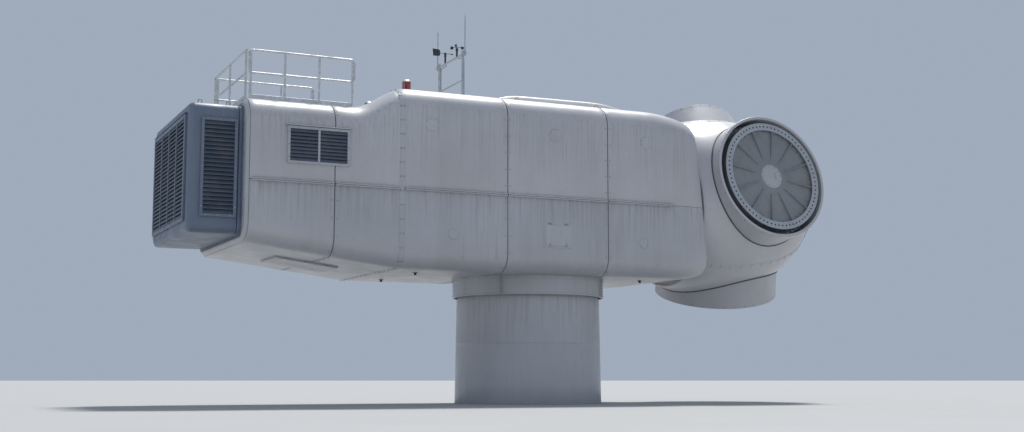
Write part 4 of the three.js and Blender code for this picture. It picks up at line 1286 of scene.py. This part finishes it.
# hatch lids with flange, hinges and handles
def hatch(name, x0, x1, hw, z, h, replaces):
    acc = Acc()
    n = 10
    st = []
    for k in range(7):
        t = k / 6 * math.pi / 2
        st.append((x0 + h * (1 - math.cos(t)), h * (1 - math.sin(t)), h * (0.45 + 0.55 * math.sin(t))))
    rows = [(x, i, hh) for x, i, hh in st] + [(x1 - (x - x0), i, hh) for x, i, hh in reversed(st)]
    loft(acc, [(x, fillet([(-hw + i, z, 0), (hw - i, z, 0), (hw - i, z + hh, hh * 0.45), (-hw + i, z + hh, hh * 0.45)], n)) for x, i, hh in rows])
    cbox(acc, (x0 - 0.03, -hw - 0.03, z - 0.004), (x1 + 0.03, hw + 0.03, z + 0.016), 0.004)
    make(name + "_lid", acc, "nacelle", "hatch", replaces, bevel=0.0)
    acc = Acc()
    for y in (-hw * 0.55, hw * 0.55):
        cbox(acc, (x0 - 0.085, y - 0.05, z), (x0 + 0.02, y + 0.05, z + 0.024), 0.004)
        tube(acc, [(x0 - 0.035, y - 0.065, z + 0.030), (x0 - 0.035, y + 0.065, z + 0.030)], 0.014, 12)
        tube(acc, round_path([(x1 - 0.22, y - 0.07, z + h - 0.004), (x1 - 0.22, y - 0.07, z + h + 0.05), (x1 - 0.22, y + 0.07, z + h + 0.05), (x1 - 0.22, y + 0.07, z + h - 0.004)], 0.02), 0.009, 10)
        cbox(acc, (x1 - 0.02, y - 0.03, z + 0.004), (x1 + 0.055, y + 0.03, z + 0.03), 0.004)
    make(name + "_fittings", acc, "nacelle", "zinc")


hatch("front_roof_hatch", -3.45, -2.35, 0.560, ROOF_Z + 0.001, 0.090, ("roof_hatch_front",))
hatch("rear_roof_hatch", -6.70, -5.30, 0.900, REAR_ROOF_Z + 0.001, 0.100, ("roof_hatch_rear",))

# non-slip walkways and anchor eyes
acc = Acc()
for x0, x1, y0, y1 in ((-3.52, -2.28, 0.72, 1.05), (-3.52, -2.28, -1.05, -0.72), (-1.75, 2.2, 1.36, 1.60), (-1.75, 2.2, -1.60, -1.36)):
    cbox(acc, (x0, y0, ROOF_Z - 0.002), (x1, y1, ROOF_Z + 0.004), 0.002)
for x0, x1, y0, y1 in ((-6.88, -5.0, 1.02, 1.38), (-6.88, -5.0, -1.38, -1.02)):
    cbox(acc, (x0, y0, REAR_ROOF_Z - 0.002), (x1, y1, REAR_ROOF_Z + 0.004), 0.002)
make("roof_walkways", acc, "nacelle", "grit")
acc = Acc()
for x, y, z in [(-3.1, 1.35, ROOF_Z), (-3.1, -1.35, ROOF_Z), (-1.0, 1.72 - 0.18, ROOF_Z), (-1.0, -1.54, ROOF_Z), (1.0, 1.54, ROOF_Z), (1.0, -1.54, ROOF_Z), (-5.15, 0.75, REAR_ROOF_Z), (-5.15, -0.75, REAR_ROOF_Z)]:
    cbox(acc, (x - 0.05, y - 0.05, z - 0.003), (x + 0.05, y + 0.05, z + 0.014), 0.004)
    ring = [(x + 0.035 * math.cos(TAU * k / 20), y, z + 0.055 + 0.035 * math.sin(TAU * k / 20)) for k in range(20)]
    tube(acc, ring, 0.010, 10, closed=True)
    tube(acc, [(x, y, z + 0.010), (x, y, z + 0.024)], 0.014, 12)
make("roof_anchor_eyes", acc, "nacelle", "yellow")

# instrument frame
IX, IZ = -1.95, ROOF_Z
acc = Acc()
tube(acc, round_path([(IX, -0.7, IZ + 0.01), (IX, -0.7, IZ + 1.236), (IX, -0.7, IZ + 1.238)], 0.01), 0.029, 16)
tube(acc, [(IX, 0.7, IZ + 0.01), (IX, 0.7, IZ + 1.238)], 0.029, 16)
tube(acc, [(IX, -0.86, IZ + 1.15), (IX, 0.86, IZ + 1.15)], 0.026, 16)
tube(acc, [(IX, -0.7, IZ + 0.56), (IX, 0.7, IZ + 0.56)], 0.020, 14)
for y in (-0.7, 0.7):
    cbox(acc, (IX - 0.11, y - 0.11, IZ - 0.003), (IX + 0.11, y + 0.11, IZ + 0.016), 0.004)
    for sx in (-1, 1):
        for sy in (-1, 1):
            bolt(acc, (IX + sx * 0.075, y + sy * 0.075, IZ + 0.016), (0, 0, 1), 0.011, 0.011)
    revolve(acc, [(0.0, 0.0), (0.040, 0.0), (0.040, 0.05), (0.030, 0.056), (0, 0.056)], 24, Matrix.Translation((IX, y, IZ + 1.115)))
for y in (-0.82, 0.82):
    revolve(acc, [(0, 1.10), (0.024, 1.10), (0.024, 1.21), (0.0125, 1.23), (0.0115, 1.98), (0.004, 2.045), (0, 2.048)], 20, Matrix.Translation((IX, y, IZ)))
make("instrument_frame_tubes", acc, "nacelle", "zinc", ("instrument_frame",))
acc = Acc()
cx = IX
revolve(acc, [(0, 1.180), (0.022, 1.180), (0.022, 1.30), (0.030, 1.305), (0.030, 1.37), (0.016, 1.385), (0.012, 1.415), (0, 1.430)], 24, Matrix.Translation((cx, -0.35, IZ)))
for k in range(3):
    t = TAU * k / 3
    c = Vector((cx + 0.140 * math.cos(t), -0.35 + 0.140 * math.sin(t), IZ + 1.40))
    tube(acc, [(cx, -0.35, IZ + 1.40), c], 0.0055, 8)
    tang = Vector((-math.sin(t), math.cos(t), 0))
    m = axes(c, tang, (0, 0, 1))
    cup = [(0.0, -0.034), (0.020, -0.028), (0.034, -0.012), (0.040, 0.012), (0.037, 0.012), (0.031, -0.010), (0.018, -0.024), (0.0, -0.030)]
    revolve(acc, cup, 20, m)
make("cup_wheel_sensor", acc, "nacelle", "black", ("cup_anemometer",))
acc = Acc()
revolve(acc, [(0, 1.180), (0.022, 1.180), (0.022, 1.33), (0.028, 1.335), (0.028, 1.40), (0.014, 1.43), (0, 1.432)], 24, Matrix.Translation((cx, 0.35, IZ)))
tube(acc, [(cx - 0.26, 0.35, IZ + 1.41), (cx + 0.17, 0.35, IZ + 1.41)], 0.008, 12)
revolve(acc, [(0, -0.03), (0.018, -0.02), (0.020, 0.02), (0, 0.03)], 16, axes((cx + 0.165, 0.35, IZ + 1.41), (1, 0, 0), (0, 0, 1)))
v = []
for y in (0.347, 0.353):
    v += [(cx - 0.155, y, IZ + 1.335), (cx - 0.130, y, IZ + 1.36), (cx - 0.130, y, IZ + 1.46), (cx - 0.155, y, IZ + 1.49), (cx - 0.318, y, IZ + 1.498), (cx - 0.300, y, IZ + 1.332)]
acc.add(v, [(0, 1, 2, 3, 4, 5), (11, 10, 9, 8, 7, 6)] + [((j + 1) % 6, j, 6 + j, 6 + (j + 1) % 6) for j in range(6)])
make("wind_vane_sensor", acc, "nacelle", "black", ("wind_vane",))
acc = Acc()
for y in (-0.35, 0.35):
    tube(acc, round_path([(IX + 0.03, y, IZ + 1.19), (IX + 0.036, y, IZ + 1.12), (IX + 0.034, y * 1.93, IZ + 1.11), (IX + 0.036, y * 1.97, IZ + 1.02), (IX + 0.036, y * 2.0, IZ + 0.03)], 0.03), 0.006, 8)
make("sensor_leads", acc, "nacelle", "black")

# obstruction lights
for nm, y in (("left", 1.25), ("right", -1.25)):
    t = Matrix.Translation((-3.5, y, ROOF_Z + 0.001))
    make("light_base_" + nm, revolve(Acc(), [(0, 0), (0.120, 0), (0.120, 0.010), (0.105, 0.016), (0.098, 0.066), (0.092, 0.076), (0, 0.076)], 40, t), "nacelle", "zinc")
    prof = [(0, 0.0765), (0.086, 0.0765)]
    for k in range(9):
        z = 0.082 + k * 0.018
        prof += [(0.088, z), (0.094, z + 0.009)]
    prof += [(0.088, 0.246), (0.0, 0.248)]
    make("light_lens_" + nm, revolve(Acc(), prof, 40, t), "nacelle", "red", ("obstruction_light_" + nm,), angle=60)
    acc = revolve(Acc(), [(0, 0.2485), (0.098, 0.2485), (0.100, 0.256), (0.080, 0.284), (0.040, 0.302), (0, 0.309)], 40, t)
    for k in range(4):
        a = TAU * (k + 0.5) / 4
        tube(acc, [(-3.5 + 0.104 * math.cos(a), y + 0.104 * math.sin(a), ROOF_Z + 0.02), (-3.5 + 0.104 * math.cos(a), y + 0.104 * math.sin(a), ROOF_Z + 0.235), (-3.5 + 0.092 * math.cos(a), y + 0.092 * math.sin(a), ROOF_Z + 0.260)], 0.005, 8)
    make("light_cap_" + nm, acc, "nacelle", "zinc")

# ------------------------------------------------------------------ underside: hoist hatch
slope = math.atan2(REAR_FLOOR_Z - FLOOR_Z, SPLIT_X - 0.005 - REAR_X)
hz = FLOOR_Z + (SPLIT_X - 0.005 + 5.45) * math.tan(slope)
hm = Matrix.Translation((-5.45, 0, hz)) @ Matrix.Rotation(slope, 4, "Y")
acc = Acc()
for sy in (-1, 1):
    y0, y1 = sorted((sy * 0.006, sy * 0.60))
    cbox(acc, (-0.68, y0, -0.044), (0.68, y1, -0.012), 0.006, hm)
cbox(acc, (-0.70, -0.62, -0.014), (0.70, 0.62, -0.001), 0.004, hm)
make("hoist_hatch_leaves", acc, "nacelle", "hatch", ("hoist_hatch",))
acc = Acc()
for sy in (-1, 1):
    for x in (-0.45, 0.0, 0.45):
        tube(acc, [(x - 0.06, sy * 0.606, -0.030), (x + 0.06, sy * 0.606, -0.030)], 0.012, 12, m=hm)
        y0, y1 = sorted((sy * 0.50, sy * 0.606))
        cbox(acc, (x - 0.05, y0, -0.0455), (x + 0.05, y1, -0.040), 0.002, hm)
for x in (-0.35, 0.35):
    cbox(acc, (x - 0.02, -0.07, -0.0455), (x + 0.02, 0.07, -0.040), 0.003, hm)
make("hoist_hatch_fittings", acc, "nacelle", "zinc")

acc = Acc()
for x, y in ((-3.2, 1.1), (-3.2, -1.1), (2.35, 1.1), (2.35, -1.1)):
    t = Matrix.Translation((x, y, floor_z(x)))
    revolve(acc, [(0.0, 0.004), (0.060, 0.004), (0.060, -0.006), (0.030, -0.010), (0.026, -0.055), (0.020, -0.055), (0.020, -0.020), (0.0, -0.020)], 28, t)
make("floor_drains", acc, "nacelle", "black")

# ------------------------------------------------------------------ CAD nodes that stay
KEEP = {"bolting_deck": "deck", "main_frame": "cast", "hub_casting": "cast"}
for name, mat in KEEP.items():
    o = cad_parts[name]
    o.data.materials.clear()
    o.data.materials.append(M[mat])

# ------------------------------------------------------------------ floor, light, camera
def stage_material():
    m, nt, b, co = _start("pale_floor")
    col = _mix(nt, (0.40, 0.405, 0.41), (0.44, 0.445, 0.45), _noise(nt, co, 0.4, 3))
    nt.links.new(col, b.inputs["Base Color"])
    b.inputs["Roughness"].default_value = 0.85
    return m


me = bpy.data.meshes.new("floor")
me.from_pydata([(1500 * math.cos(TAU * k / 180), 1500 * math.sin(TAU * k / 180), -0.002) for k in range(180)], [], [tuple(range(180))])
me.materials.append(stage_material())
floor = bpy.data.objects.new("floor", me)
scene.collection.objects.link(floor)
floor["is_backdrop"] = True

world = bpy.data.worlds.new("studio")
scene.world = world
world.use_nodes = True
bg = world.node_tree.nodes["Background"]
bg.inputs[0].default_value = (0.70, 0.82, 1.0, 1)
bg.inputs[1].default_value = 0.50


def sun(name, direction, strength, spread, color):
    d = bpy.data.lights.new(name, "SUN")
    d.energy, d.angle, d.color = strength, math.radians(spread), color
    o = bpy.data.objects.new(name, d)
    o.rotation_mode = "QUATERNION"
    o.rotation_quaternion = (-Vector(direction)).to_track_quat("-Z", "Y")
    scene.collection.objects.link(o)
    return o


# a broad light from behind and above, and a weak fill on the near side
sun("key_behind", (0.36, 0.42, 1.0), 3.7, 9, (1.0, 0.97, 0.92))
sun("fill_left", (-0.9, -0.75, 0.55), 0.08, 60, (0.88, 0.93, 1.0))

cam = bpy.data.objects.new("camera", bpy.data.cameras.new("camera"))
scene.collection.objects.link(cam)
az, el, dist = math.radians(-25), math.radians(-7), 31.0
back = Vector((math.sin(az) * math.cos(el), -math.cos(az) * math.cos(el), math.sin(el)))
aim = Vector((-0.40, 0, 4.30))
cam.location = aim + back * dist
cam.rotation_mode = "QUATERNION"
cam.rotation_quaternion = (-back).to_track_quat("-Z", "Y")
cam.data.lens = 47
cam.data.clip_end = 2000
scene.camera = cam
scene.view_settings.view_transform = "Standard"

lo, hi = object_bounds()
